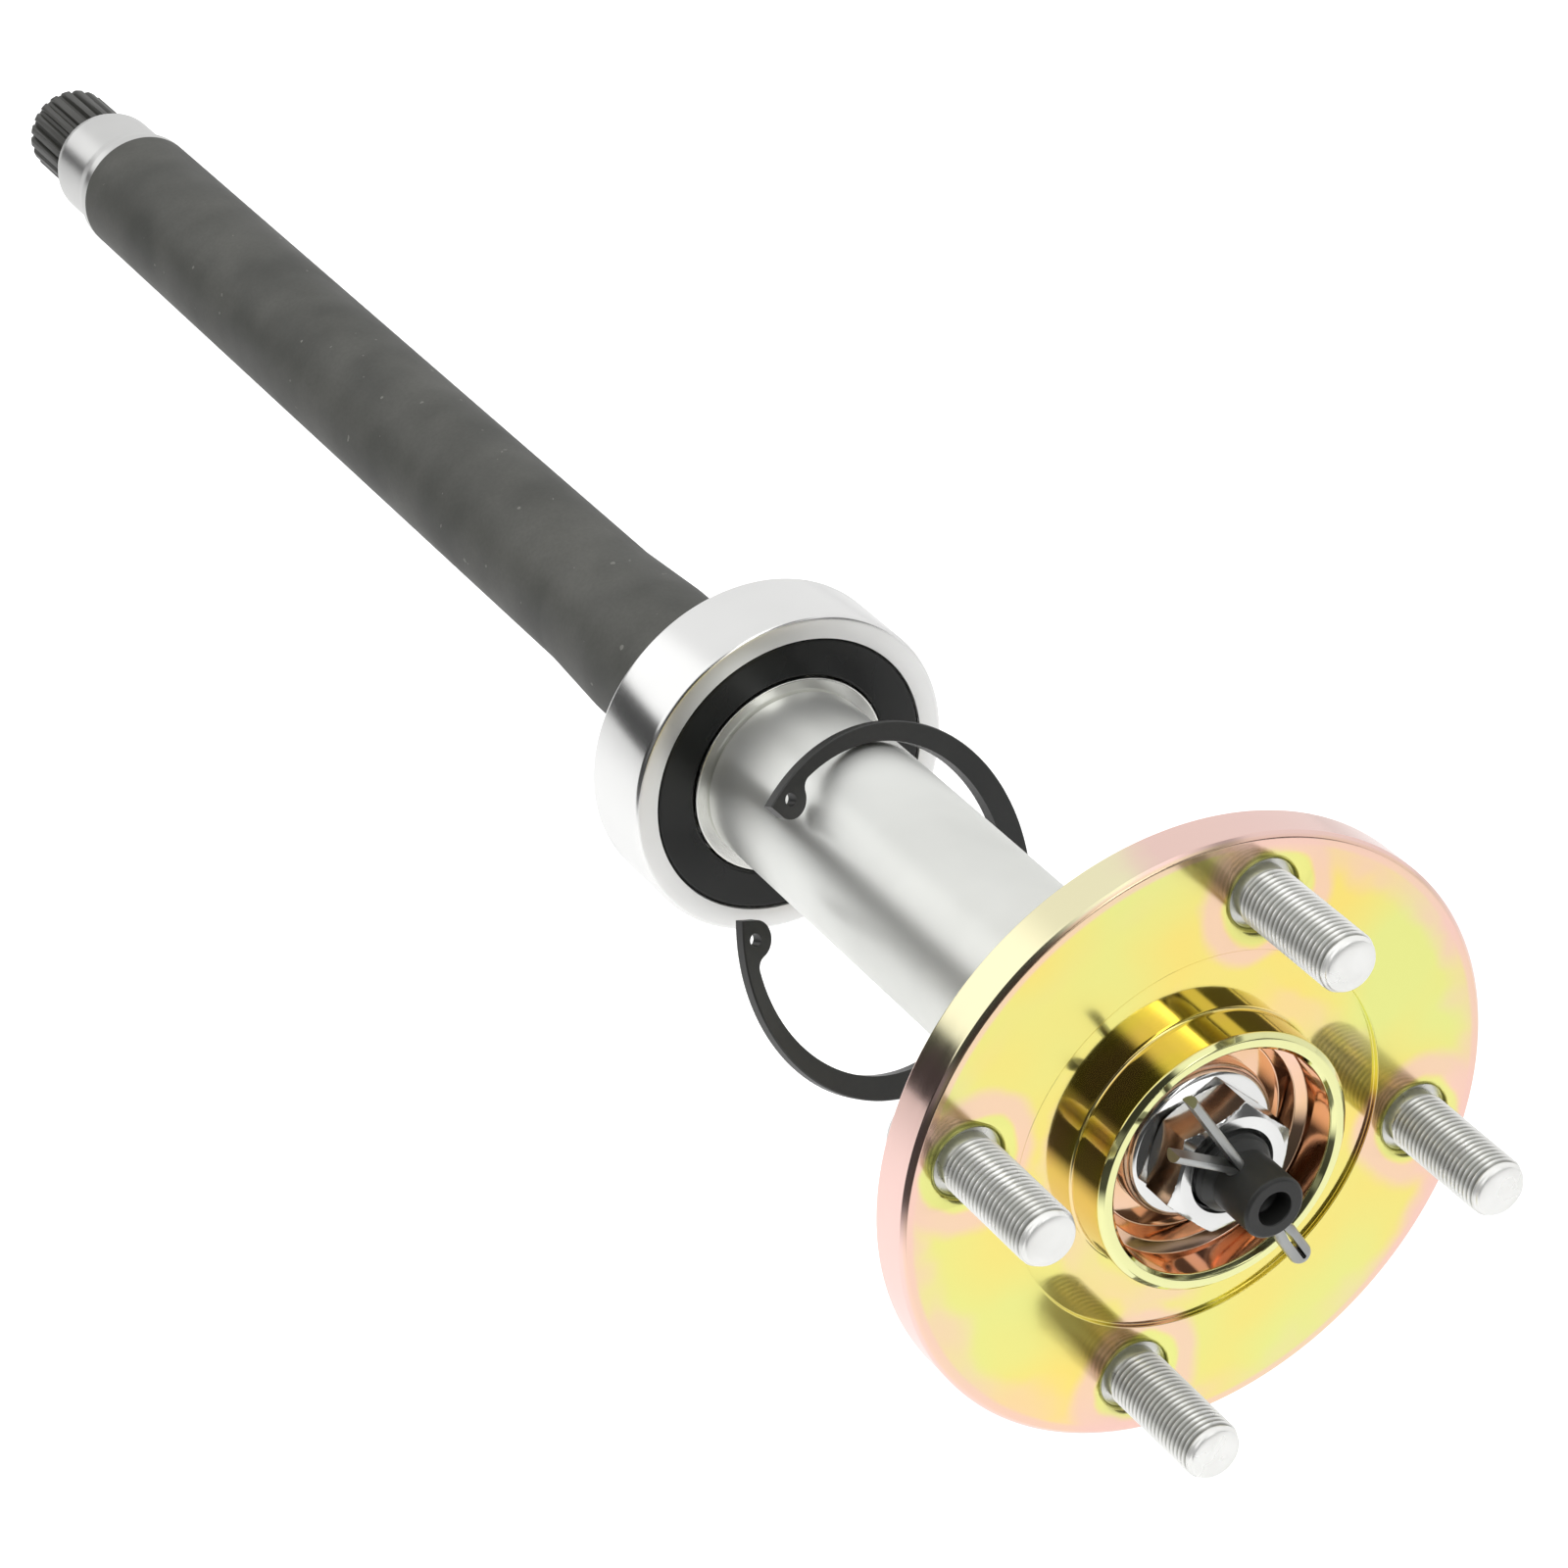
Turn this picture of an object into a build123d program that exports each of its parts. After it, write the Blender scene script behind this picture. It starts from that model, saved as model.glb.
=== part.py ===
from build123d import *
from math import asin, cos, degrees, radians, sin, tan
import os

os.makedirs("parts", exist_ok=True)

# Rear axle assembly: a splined half shaft with its sealed ball bearing, a
# spacer sleeve, a loose snap ring and a wheel hub with four studs. The axle
# lies along Y with the origin at the middle of the bearing. +Y points
# outboard to the wheel and +Z is up. Sizes are in millimetres.

# Bearing, a sealed deep-groove ball bearing
bearing_bore = 30.0
bearing_outside = 72.0
bearing_width = 19.0
bearing_corner = 1.1
ball_diameter = 12.3
ball_count = 8
ball_first_angle = 20.0
groove_radius = 6.4
race_clearance = 0.03
inner_shoulder_drop = 3.5
outer_shoulder_rise = 3.7
seal_seat_height = 1.7
seal_recess_depth = 1.9
seal_thickness = 1.2
seal_inset = 0.25
seal_lip_clearance = 0.35
seal_groove = 0.45
cage_sheet = 0.9
cage_inner_clearance = 1.4
cage_outer_clearance = 1.7
cage_pocket_clearance = 0.2
rivet_diameter = 1.6
rivet_head_diameter = 2.8
rivet_head_height = 0.6

# Half shaft, from the bearing shoulder inboard
collar_diameter = 33.0
collar_length = 41.0
taper_length = 22.0
shaft_diameter = 30.5
shaft_length = 249.5
journal_diameter = 27.4
journal_length = 14.0
journal_outboard_chamfer = 4.5
journal_inboard_chamfer = 3.25
journal_end_diameter = 24.8
spline_length = 21.75
spline_teeth = 20
spline_tip_diameter = 22.4
spline_root_diameter = 20.0
spline_tooth_tip = 1.5
spline_tooth_base = 2.3
spline_end_chamfer = 1.2
spline_first_angle = 14.7
centre_hole_diameter = 6.0
centre_hole_depth = 4.0

# Spacer sleeve on the shaft, between the bearing and the hub
sleeve_diameter = 38.7
sleeve_length = 112.0
sleeve_bore_clearance = 0.1
sleeve_chamfer = 0.6

# Hub, from the outboard end of the sleeve
hub_boss_diameter = 48.0
hub_boss_length = 29.5
hub_boss_fillet = 3.0
flange_rim = 12.7
flange_thickness = 10.0
flange_chamfer = 1.0
recess_diameter = 79.4
recess_depth = 1.0
pilot_diameter = 54.2
pilot_height = 8.7
pilot_chamfer = 1.0
pilot_fillet = 0.6
well_diameter = 47.2
well_chamfer = 0.9
well_depth = 12.7
well_step_height = 3.3
well_step_drop = 1.2
well_step_diameter = 43.0
well_floor_diameter = 40.4
hub_spline_teeth = 24
hub_spline_tip_diameter = 28.0
hub_spline_root_diameter = 25.6
hub_spline_tooth_tip = 1.4
hub_spline_tooth_base = 2.1
hub_spline_clearance = 0.06
hub_spline_set_back = 1.0

# Wheel studs
stud_count = 4
stud_circle_diameter = 101.6
stud_first_angle = 13.5
stud_diameter = 12.0
stud_reach = 27.1
stud_end_chamfer = 0.9
stud_end_chamfer_length = 1.6
stud_knurl_diameter = 14.0
stud_knurl_set_back = 2.2
stud_neck_diameter = 11.3
stud_head_diameter = 19.0
stud_head_height = 4.5
stud_head_chamfer = 1.0
stud_countersink_diameter = 16.4

# Threaded end, washer, nut and cotter pin
thread_diameter = 15.9
thread_past_nut = 1.2
nose_cone_length = 1.6
nose_diameter = 12.7
nose_reach = 13.7
nose_chamfer = 0.5
nose_hole_diameter = 7.0
nose_hole_depth = 4.5
nose_hole_cone = 2.0
washer_diameter = 32.2
washer_thickness = 5.1
washer_edge_diameter = 30.1
washer_edge_height = 4.05
washer_top_diameter = 28.6
washer_bore_clearance = 0.3
nut_flats = 23.8
nut_height = 9.9
nut_first_angle = 43.0
nut_corner_chamfer = 2.4
nut_hole_chamfer = 0.9
nut_thread_clearance = 0.05
cotter_angle = 57.5
cotter_past_nut = 5.0
cotter_hole_clearance = 0.3
cotter_leg_thickness = 1.85
cotter_leg_gap = 0.2
cotter_long_leg = 26.4
cotter_bent_leg = 14.2
cotter_bend_angle = 29.5
cotter_bend_start = 7.3
cotter_bend_radius = 3.0
cotter_neck = 14.0
cotter_shoulder = 2.5
cotter_eye_length = 6.3
cotter_eye_half_slot = 0.4

# Snap ring, hung loose on the sleeve and leaning
snap_outer_diameter = 76.5
snap_wide_side = 6.6
snap_narrow_side = 2.6
snap_thickness = 2.5
snap_gap_half_angle = 17.7
snap_lug_set_back = 3.9
snap_lug_inset = 3.05
snap_lug_diameter = 8.0
snap_hole_diameter = 2.8
snap_gap_angle = 35.9
snap_lean = 20.3
snap_swing = 13.1
snap_station = 38.0
snap_sideways = -0.64
snap_seat_clearance = 0.15
snap_root_fillet = 2.5
snap_edge_chamfer = 0.25

# Places along the axle that follow from the sizes above
bearing_half = bearing_width / 2
ball_circle_radius = (bearing_bore + bearing_outside) / 4
collar_end = -bearing_half - collar_length
taper_end = collar_end - taper_length
body_end = taper_end - shaft_length
journal_start = body_end - journal_outboard_chamfer
journal_stop = journal_start - journal_length
journal_end = journal_stop - journal_inboard_chamfer
inboard_end = journal_end - spline_length
sleeve_start = bearing_half
hub_start = sleeve_start + sleeve_length
flange_back = hub_start + hub_boss_length
flange_face = flange_back + flange_thickness
recess_floor = flange_face - recess_depth
pilot_face = flange_face + pilot_height
well_floor = pilot_face - well_depth
hub_spline_end = well_floor - hub_spline_set_back
nut_base = well_floor + washer_thickness
nut_top = nut_base + nut_height
thread_end = nut_top + thread_past_nut
nose_end = nut_top + nose_reach
cotter_station = nut_top + cotter_past_nut
ball_angles = [ball_first_angle + n * 360 / ball_count for n in range(ball_count)]
stud_angles = [stud_first_angle + n * 360 / stud_count for n in range(stud_count)]


def profile(*points):
    """Draws a closed half section: radius along X, place along the axle in Y."""
    Polygon(*points, align=None)


def spline_section(root, tip, teeth, tooth_base, tooth_tip, spare, first_angle):
    """Draws a straight-sided spline, grown by a spare clearance all round."""
    inside = root - tooth_tip
    slope = (tooth_base - tooth_tip) / (tip - root)
    wide = tooth_base / 2 + slope * (root - inside) / 2 + spare
    narrow = tooth_tip / 2 - slope * tooth_tip / 2 + spare
    outside = tip + tooth_tip
    Circle(root + spare)
    with PolarLocations(0, teeth, start_angle=first_angle):
        Polygon((inside, -wide), (outside, -narrow), (outside, narrow), (inside, wide), align=None)
    Circle(tip + spare, mode=Mode.INTERSECT)


def at_station(place):
    """Plane square to the axle: X across, Z up, and it extrudes inboard."""
    return Plane.XZ.offset(-place)


def polar_point(radius, angle):
    return (radius * cos(radians(angle)), radius * sin(radians(angle)))


def corners(section, *places):
    """The corners of a half section nearest to some places, to be rounded."""
    return [section.vertices().sort_by_distance((*place, 0))[0] for place in places]


def ball_centre(angle):
    across, height = polar_point(ball_circle_radius, angle)
    return (across, 0, height)


def save(piece, name):
    piece.part.label = name
    export_step(piece.part, f"parts/{name}.step")


# Half shaft: splined inboard end, journal, body, bearing seat and threaded nose
seat_radius = bearing_bore / 2
thread_radius = thread_diameter / 2
nose_radius = nose_diameter / 2
with BuildPart() as axle_shaft:
    with BuildSketch():
        profile(
            (0, journal_end),
            (journal_end_diameter / 2, journal_end),
            (journal_diameter / 2, journal_stop),
            (journal_diameter / 2, journal_start),
            (shaft_diameter / 2, body_end),
            (shaft_diameter / 2, taper_end),
            (collar_diameter / 2, collar_end),
            (collar_diameter / 2, -bearing_half),
            (seat_radius, -bearing_half),
            (seat_radius, hub_start),
            (hub_spline_root_diameter / 2, hub_start),
            (hub_spline_root_diameter / 2, hub_spline_end),
            (thread_radius, hub_spline_end),
            (thread_radius, thread_end),
            (nose_radius, thread_end + nose_cone_length),
            (nose_radius, nose_end - nose_chamfer),
            (nose_radius - nose_chamfer, nose_end),
            (nose_hole_diameter / 2, nose_end),
            (nose_hole_diameter / 2, nose_end - nose_hole_depth),
            (0, nose_end - nose_hole_depth - nose_hole_cone),
        )
    revolve(axis=Axis.Y)
    with BuildSketch(at_station(journal_end)):
        spline_section(
            spline_root_diameter / 2,
            spline_tip_diameter / 2,
            spline_teeth,
            spline_tooth_base,
            spline_tooth_tip,
            0,
            spline_first_angle,
        )
    extrude(amount=spline_length)
    with BuildSketch(at_station(hub_spline_end)):
        spline_section(
            hub_spline_root_diameter / 2,
            hub_spline_tip_diameter / 2,
            hub_spline_teeth,
            hub_spline_tooth_base,
            hub_spline_tooth_tip,
            0,
            0,
        )
    extrude(amount=hub_spline_end - hub_start)
    # End chamfer on the spline teeth, and the turning centre
    with BuildSketch():
        profile(
            (spline_tip_diameter / 2 - spline_end_chamfer, inboard_end),
            (spline_tip_diameter / 2, inboard_end),
            (spline_tip_diameter / 2, inboard_end + spline_end_chamfer),
        )
        profile((0, inboard_end), (centre_hole_diameter / 2, inboard_end), (0, inboard_end + centre_hole_depth))
    revolve(axis=Axis.Y, mode=Mode.SUBTRACT)
    # Cross hole for the cotter pin
    pin_direction = (cos(radians(cotter_angle)), 0, sin(radians(cotter_angle)))
    pin_diameter = 2 * cotter_leg_thickness + cotter_leg_gap
    with BuildSketch(Plane(origin=(0, cotter_station, 0), z_dir=pin_direction)):
        Circle((pin_diameter + cotter_hole_clearance) / 2)
    extrude(amount=nose_diameter, both=True, mode=Mode.SUBTRACT)
save(axle_shaft, "axle_shaft")

# Bearing rings, each with a rolling groove turned into it
inner_groove_centre = ball_circle_radius - ball_diameter / 2 - race_clearance + groove_radius
outer_groove_centre = ball_circle_radius + ball_diameter / 2 + race_clearance - groove_radius
inner_land = ball_circle_radius - inner_shoulder_drop
with BuildPart() as bearing_inner_ring:
    with BuildSketch() as section:
        profile(
            (seat_radius, -bearing_half),
            (inner_land, -bearing_half),
            (inner_land, bearing_half),
            (seat_radius, bearing_half),
        )
        fillet(corners(section, (seat_radius, -bearing_half), (seat_radius, bearing_half)), bearing_corner)
        with Locations((inner_groove_centre, 0)):
            Circle(groove_radius, mode=Mode.SUBTRACT)
    revolve(axis=Axis.Y)
save(bearing_inner_ring, "bearing_inner_ring")

outer_land = ball_circle_radius + outer_shoulder_rise
recess_radius = outer_land + seal_seat_height
rim_radius = bearing_outside / 2
recess_stop = bearing_half - seal_recess_depth
with BuildPart() as bearing_outer_ring:
    with BuildSketch() as section:
        profile(
            (outer_land, -recess_stop),
            (recess_radius, -recess_stop),
            (recess_radius, -bearing_half),
            (rim_radius, -bearing_half),
            (rim_radius, bearing_half),
            (recess_radius, bearing_half),
            (recess_radius, recess_stop),
            (outer_land, recess_stop),
        )
        fillet(corners(section, (rim_radius, -bearing_half), (rim_radius, bearing_half)), bearing_corner)
        with Locations((outer_groove_centre, 0)):
            Circle(groove_radius, mode=Mode.SUBTRACT)
    revolve(axis=Axis.Y)
save(bearing_outer_ring, "bearing_outer_ring")

# Balls, each a piece of its own on the ball circle
for number, angle in enumerate(ball_angles, start=1):
    with BuildPart() as ball:
        with Locations(ball_centre(angle)):
            Sphere(ball_diameter / 2)
    save(ball, f"ball_{number}")

# Cage: two pressed halves with a pocket round each ball, joined by rivets
pocket_radius = ball_diameter / 2 + cage_pocket_clearance
cage_reach = pocket_radius + cage_sheet
cage_inside = inner_land + cage_inner_clearance
cage_outside = outer_land - cage_outer_clearance
ball_places = [Location(ball_centre(angle), (90, 0, 0)) for angle in ball_angles]
web_angles = [angle + 180 / ball_count for angle in ball_angles]
web_places = [polar_point(ball_circle_radius, angle) for angle in web_angles]
for side, name in ((1, "cage_half_outboard"), (-1, "cage_half_inboard")):
    with BuildPart() as cage_half:
        with BuildSketch():
            profile(
                (cage_inside, 0),
                (cage_outside, 0),
                (cage_outside, side * cage_sheet),
                (cage_inside, side * cage_sheet),
            )
        revolve(axis=Axis.Y)
        with Locations(*ball_places):
            Sphere(cage_reach)
        with BuildSketch():
            profile(
                (cage_inside, 0),
                (cage_outside, 0),
                (cage_outside, side * cage_reach),
                (cage_inside, side * cage_reach),
            )
        revolve(axis=Axis.Y, mode=Mode.INTERSECT)
        with Locations(*ball_places):
            Sphere(pocket_radius, mode=Mode.SUBTRACT)
        with BuildSketch(Plane.XZ):
            with Locations(*web_places):
                Circle(rivet_diameter / 2)
        extrude(amount=cage_reach, both=True, mode=Mode.SUBTRACT)
    save(cage_half, name)

with BuildPart() as cage_rivets:
    with BuildSketch(at_station(cage_sheet)):
        with Locations(*web_places):
            Circle(rivet_diameter / 2)
    extrude(amount=2 * cage_sheet)
    for head_top in (cage_sheet + rivet_head_height, -cage_sheet):
        with BuildSketch(at_station(head_top)):
            with Locations(*web_places):
                Circle(rivet_head_diameter / 2)
        extrude(amount=rivet_head_height)
save(cage_rivets, "cage_rivets")

# Seals: a rolled rim in the outer ring, a pressed face and a lip inside
seal_face = bearing_half - seal_inset
seal_back = seal_face - seal_thickness
lip_radius = inner_land + seal_lip_clearance
for side, name in ((1, "seal_outboard"), (-1, "seal_inboard")):
    with BuildPart() as seal:
        with BuildSketch():
            profile(
                (lip_radius, side * seal_back),
                (recess_radius, side * recess_stop),
                (recess_radius, side * (seal_face - seal_groove)),
                (recess_radius - seal_groove, side * (seal_face - seal_groove)),
                (recess_radius - seal_groove, side * seal_face),
                (lip_radius + seal_groove, side * seal_face),
                (lip_radius, side * (seal_face - seal_groove)),
            )
        revolve(axis=Axis.Y)
    save(seal, name)

# Spacer sleeve
with BuildPart() as spacer_sleeve:
    sleeve_bore = seat_radius + sleeve_bore_clearance
    sleeve_radius = sleeve_diameter / 2
    with BuildSketch():
        profile(
            (sleeve_bore, sleeve_start),
            (sleeve_radius - sleeve_chamfer, sleeve_start),
            (sleeve_radius, sleeve_start + sleeve_chamfer),
            (sleeve_radius, hub_start - sleeve_chamfer),
            (sleeve_radius - sleeve_chamfer, hub_start),
            (sleeve_bore, hub_start),
        )
    revolve(axis=Axis.Y)
save(spacer_sleeve, "spacer_sleeve")

# Hub: rear boss, flange, shallow recess, pilot ring and the well for the nut
hub_bore = hub_spline_root_diameter / 2 - hub_spline_tooth_tip
flange_radius = stud_circle_diameter / 2 + flange_rim
with BuildPart() as hub:
    with BuildSketch() as section:
        profile(
            (hub_bore, hub_start),
            (hub_boss_diameter / 2, hub_start),
            (hub_boss_diameter / 2, flange_back),
            (flange_radius - flange_chamfer, flange_back),
            (flange_radius, flange_back + flange_chamfer),
            (flange_radius, flange_face - flange_chamfer),
            (flange_radius - flange_chamfer, flange_face),
            (recess_diameter / 2, flange_face),
            (recess_diameter / 2, recess_floor),
            (pilot_diameter / 2, recess_floor),
            (pilot_diameter / 2, pilot_face - pilot_chamfer),
            (pilot_diameter / 2 - pilot_chamfer, pilot_face),
            (well_diameter / 2 + well_chamfer, pilot_face),
            (well_diameter / 2, pilot_face - well_chamfer),
            (well_diameter / 2, well_floor + well_step_height + well_step_drop),
            (well_step_diameter / 2, well_floor + well_step_height),
            (well_floor_diameter / 2, well_floor),
            (hub_bore, well_floor),
        )
        fillet(corners(section, (hub_boss_diameter / 2, flange_back)), hub_boss_fillet)
        fillet(corners(section, (pilot_diameter / 2, recess_floor)), pilot_fillet)
    revolve(axis=Axis.Y)
    with BuildSketch(at_station(well_floor)):
        spline_section(
            hub_spline_root_diameter / 2,
            hub_spline_tip_diameter / 2,
            hub_spline_teeth,
            hub_spline_tooth_base,
            hub_spline_tooth_tip,
            hub_spline_clearance,
            0,
        )
    extrude(amount=well_floor - hub_start, mode=Mode.SUBTRACT)
    with BuildSketch(at_station(flange_face)):
        with PolarLocations(stud_circle_diameter / 2, stud_count, start_angle=stud_first_angle):
            Circle(stud_knurl_diameter / 2)
    extrude(amount=flange_thickness, mode=Mode.SUBTRACT)
    # Countersinks at the mouths of the stud holes
    countersink_depth = (stud_countersink_diameter - stud_knurl_diameter) / 2
    with BuildSketch(at_station(flange_face)):
        with PolarLocations(stud_circle_diameter / 2, stud_count, start_angle=stud_first_angle):
            Circle(stud_countersink_diameter / 2)
    extrude(amount=countersink_depth, taper=45, mode=Mode.SUBTRACT)
save(hub, "hub")

# Wheel studs, pressed in from behind the flange
stud_end = flange_face + stud_reach
knurl_end = flange_face - stud_knurl_set_back
head_radius = stud_head_diameter / 2
for number, angle in enumerate(stud_angles, start=1):
    across, height = polar_point(stud_circle_diameter / 2, angle)
    stud_plane = Plane(origin=(across, 0, height), x_dir=(1, 0, 0), z_dir=(0, 0, 1))
    with BuildPart() as wheel_stud:
        with BuildSketch(stud_plane):
            profile(
                (0, flange_back - stud_head_height),
                (head_radius - stud_head_chamfer, flange_back - stud_head_height),
                (head_radius, flange_back - stud_head_height + stud_head_chamfer),
                (head_radius, flange_back),
                (stud_knurl_diameter / 2, flange_back),
                (stud_knurl_diameter / 2, knurl_end),
                (stud_neck_diameter / 2, knurl_end),
                (stud_neck_diameter / 2, flange_face),
                (stud_diameter / 2, flange_face),
                (stud_diameter / 2, stud_end - stud_end_chamfer_length),
                (stud_diameter / 2 - stud_end_chamfer, stud_end),
                (0, stud_end),
            )
        revolve(axis=Axis((across, 0, height), (0, 1, 0)))
    save(wheel_stud, f"wheel_stud_{number}")

# Washer with a rolled outer edge, on the floor of the well
washer_top = well_floor + washer_thickness
washer_bore = thread_radius + washer_bore_clearance
with BuildPart() as hub_washer:
    with BuildSketch():
        with BuildLine():
            edge_start = (washer_diameter / 2, well_floor + washer_edge_height / 2)
            edge_middle = (washer_edge_diameter / 2, well_floor + washer_edge_height)
            edge_end = (washer_top_diameter / 2, washer_top)
            Polyline(edge_end, (washer_bore, washer_top), (washer_bore, well_floor), (washer_diameter / 2, well_floor), edge_start)
            ThreePointArc(edge_start, edge_middle, edge_end)
        make_face()
    revolve(axis=Axis.Y)
save(hub_washer, "hub_washer")

# Axle nut, with its corners turned down and the thread mouths chamfered
nut_corner_radius = nut_flats / 2 / cos(radians(30))
nut_bore = thread_radius + nut_thread_clearance
with BuildPart() as axle_nut:
    with BuildSketch(at_station(nut_top)):
        RegularPolygon(nut_corner_radius, 6, rotation=nut_first_angle)
        Circle(nut_bore, mode=Mode.SUBTRACT)
    extrude(amount=nut_height)
    corner_drop = nut_corner_chamfer * tan(radians(30))
    with BuildSketch():
        profile(
            (0, nut_base),
            (nut_corner_radius - nut_corner_chamfer, nut_base),
            (nut_corner_radius, nut_base + corner_drop),
            (nut_corner_radius, nut_top - corner_drop),
            (nut_corner_radius - nut_corner_chamfer, nut_top),
            (0, nut_top),
        )
    revolve(axis=Axis.Y, mode=Mode.INTERSECT)
    with BuildSketch():
        profile((nut_bore, nut_top), (nut_bore + nut_hole_chamfer, nut_top), (nut_bore, nut_top - nut_hole_chamfer))
        profile((nut_bore, nut_base), (nut_bore + nut_hole_chamfer, nut_base), (nut_bore, nut_base + nut_hole_chamfer))
    revolve(axis=Axis.Y, mode=Mode.SUBTRACT)
save(axle_nut, "axle_nut")

# Cotter pin: one half-round wire, folded into an eye and two legs
pin_plane = Plane(origin=(0, cotter_station, 0), x_dir=pin_direction, z_dir=(0, 1, 0))
half_gap = cotter_leg_gap / 2
bend = radians(cotter_bend_angle)
eye_start = -cotter_neck - cotter_shoulder
eye_end = eye_start - cotter_eye_length
with BuildPart() as cotter_pin:
    with BuildLine(pin_plane) as wire:
        Polyline(
            (cotter_long_leg, -half_gap),
            (-cotter_neck, -half_gap),
            (eye_start, -cotter_eye_half_slot),
            (eye_end, -cotter_eye_half_slot),
        )
        ThreePointArc(
            (eye_end, -cotter_eye_half_slot),
            (eye_end - cotter_eye_half_slot, 0),
            (eye_end, cotter_eye_half_slot),
        )
        FilletPolyline(
            (eye_end, cotter_eye_half_slot),
            (eye_start, cotter_eye_half_slot),
            (-cotter_neck, half_gap),
            (cotter_bend_start, half_gap),
            (cotter_bend_start + cotter_bent_leg * cos(bend), half_gap + cotter_bent_leg * sin(bend)),
            radius=[cotter_eye_half_slot, cotter_eye_half_slot, cotter_bend_radius],
        )
    with BuildSketch(Plane(origin=wire.line @ 0, x_dir=(0, 1, 0), z_dir=wire.line % 0)):
        Circle(cotter_leg_thickness)
        with Locations((0, cotter_leg_thickness)):
            Rectangle(2 * cotter_leg_thickness, 2 * cotter_leg_thickness, mode=Mode.SUBTRACT)
    sweep(path=wire.line, transition=Transition.RIGHT)
save(cotter_pin, "cotter_pin")

# Snap ring: eccentric ring with two lugs, thickest opposite its gap
lean = radians(snap_lean)
swing = radians(snap_swing)
outer_radius = snap_outer_diameter / 2
inner_radius = outer_radius - (snap_wide_side + snap_narrow_side) / 2
inner_centre = polar_point((snap_wide_side - snap_narrow_side) / 2, snap_gap_angle)


def ring_plane(height):
    """The leaning plane of the ring, its centre at a height over the axle."""
    return Plane(
        origin=(snap_sideways, sleeve_start + snap_station, height),
        x_dir=(cos(swing), sin(swing), 0),
        z_dir=(sin(swing) * cos(lean), -cos(swing) * cos(lean), -sin(lean)),
    )


def height_to_clear(angle, face, radius):
    """How high the ring hangs for one point of its inner edge to meet a round bar."""
    across, rise = polar_point(inner_radius, angle)
    point = ring_plane(0).from_local_coords((inner_centre[0] + across, inner_centre[1] + rise, face))
    return (radius**2 - point.X**2) ** 0.5 - point.Z if abs(point.X) < radius else -radius


# The ring drops until the top of its inner edge meets the sleeve
snap_rest = sleeve_diameter / 2 + snap_seat_clearance
snap_faces = (snap_thickness / 2, -snap_thickness / 2)
ring_height = max(height_to_clear(angle, face, snap_rest) for angle in range(1, 180) for face in snap_faces)
lug_radius = snap_lug_diameter / 2
lug_circle_radius = outer_radius - snap_lug_inset
lug_half_angle = snap_gap_half_angle + degrees(asin(snap_lug_set_back / lug_circle_radius))
lug_angles = [snap_gap_angle - lug_half_angle, snap_gap_angle + lug_half_angle]
lug_places = [polar_point(lug_circle_radius, angle) for angle in lug_angles]
gap_middle = Vector(*polar_point(lug_circle_radius, snap_gap_angle))
gap_angles = [snap_gap_angle - snap_gap_half_angle, snap_gap_angle + snap_gap_half_angle]
gap_edges = [polar_point(snap_outer_diameter, angle) for angle in gap_angles]
touch = 0.01


def is_root(vertex):
    """Whether a corner of the outline lies where a lug meets the inner edge, on its side away from the gap."""
    corner = vertex.center()
    from_inner = (corner - Vector(*inner_centre)).length - inner_radius
    from_lugs = [(corner - Vector(*place)).length - lug_radius for place in lug_places]
    past_lug = (corner - gap_middle).length > (Vector(*lug_places[0]) - gap_middle).length
    return past_lug and abs(from_inner) < touch and min(abs(gap) for gap in from_lugs) < touch


with BuildPart() as snap_ring:
    with BuildSketch(ring_plane(ring_height)) as outline:
        Circle(outer_radius)
        with Locations(inner_centre):
            Circle(inner_radius, mode=Mode.SUBTRACT)
        with Locations(*lug_places):
            Circle(lug_radius)
        Circle(outer_radius, mode=Mode.INTERSECT)
        Polygon((0, 0), *gap_edges, align=None, mode=Mode.SUBTRACT)
        fillet([vertex for vertex in outline.vertices() if is_root(vertex)], snap_root_fillet)
        with Locations(*lug_places):
            Circle(snap_hole_diameter / 2, mode=Mode.SUBTRACT)
    extrude(amount=snap_thickness / 2, both=True)
    outer_edges = snap_ring.edges().filter_by(GeomType.CIRCLE).group_by(SortBy.RADIUS)[-1]
    chamfer(outer_edges, snap_edge_chamfer)
save(snap_ring, "snap_ring")
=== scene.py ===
# %% [markdown]
# # A rear axle assembly
# The real thing is a turned and splined steel shaft that carries a sealed ball bearing, a long spacer
# sleeve and a plated wheel hub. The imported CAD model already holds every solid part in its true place. This
# lesson loads it as a fixed frame, then dresses it with finer turned surfaces, real threads and metal
# finishes.
# %% Load the frame
import math

import bmesh
import bpy
from mathutils import Matrix, Vector


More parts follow.
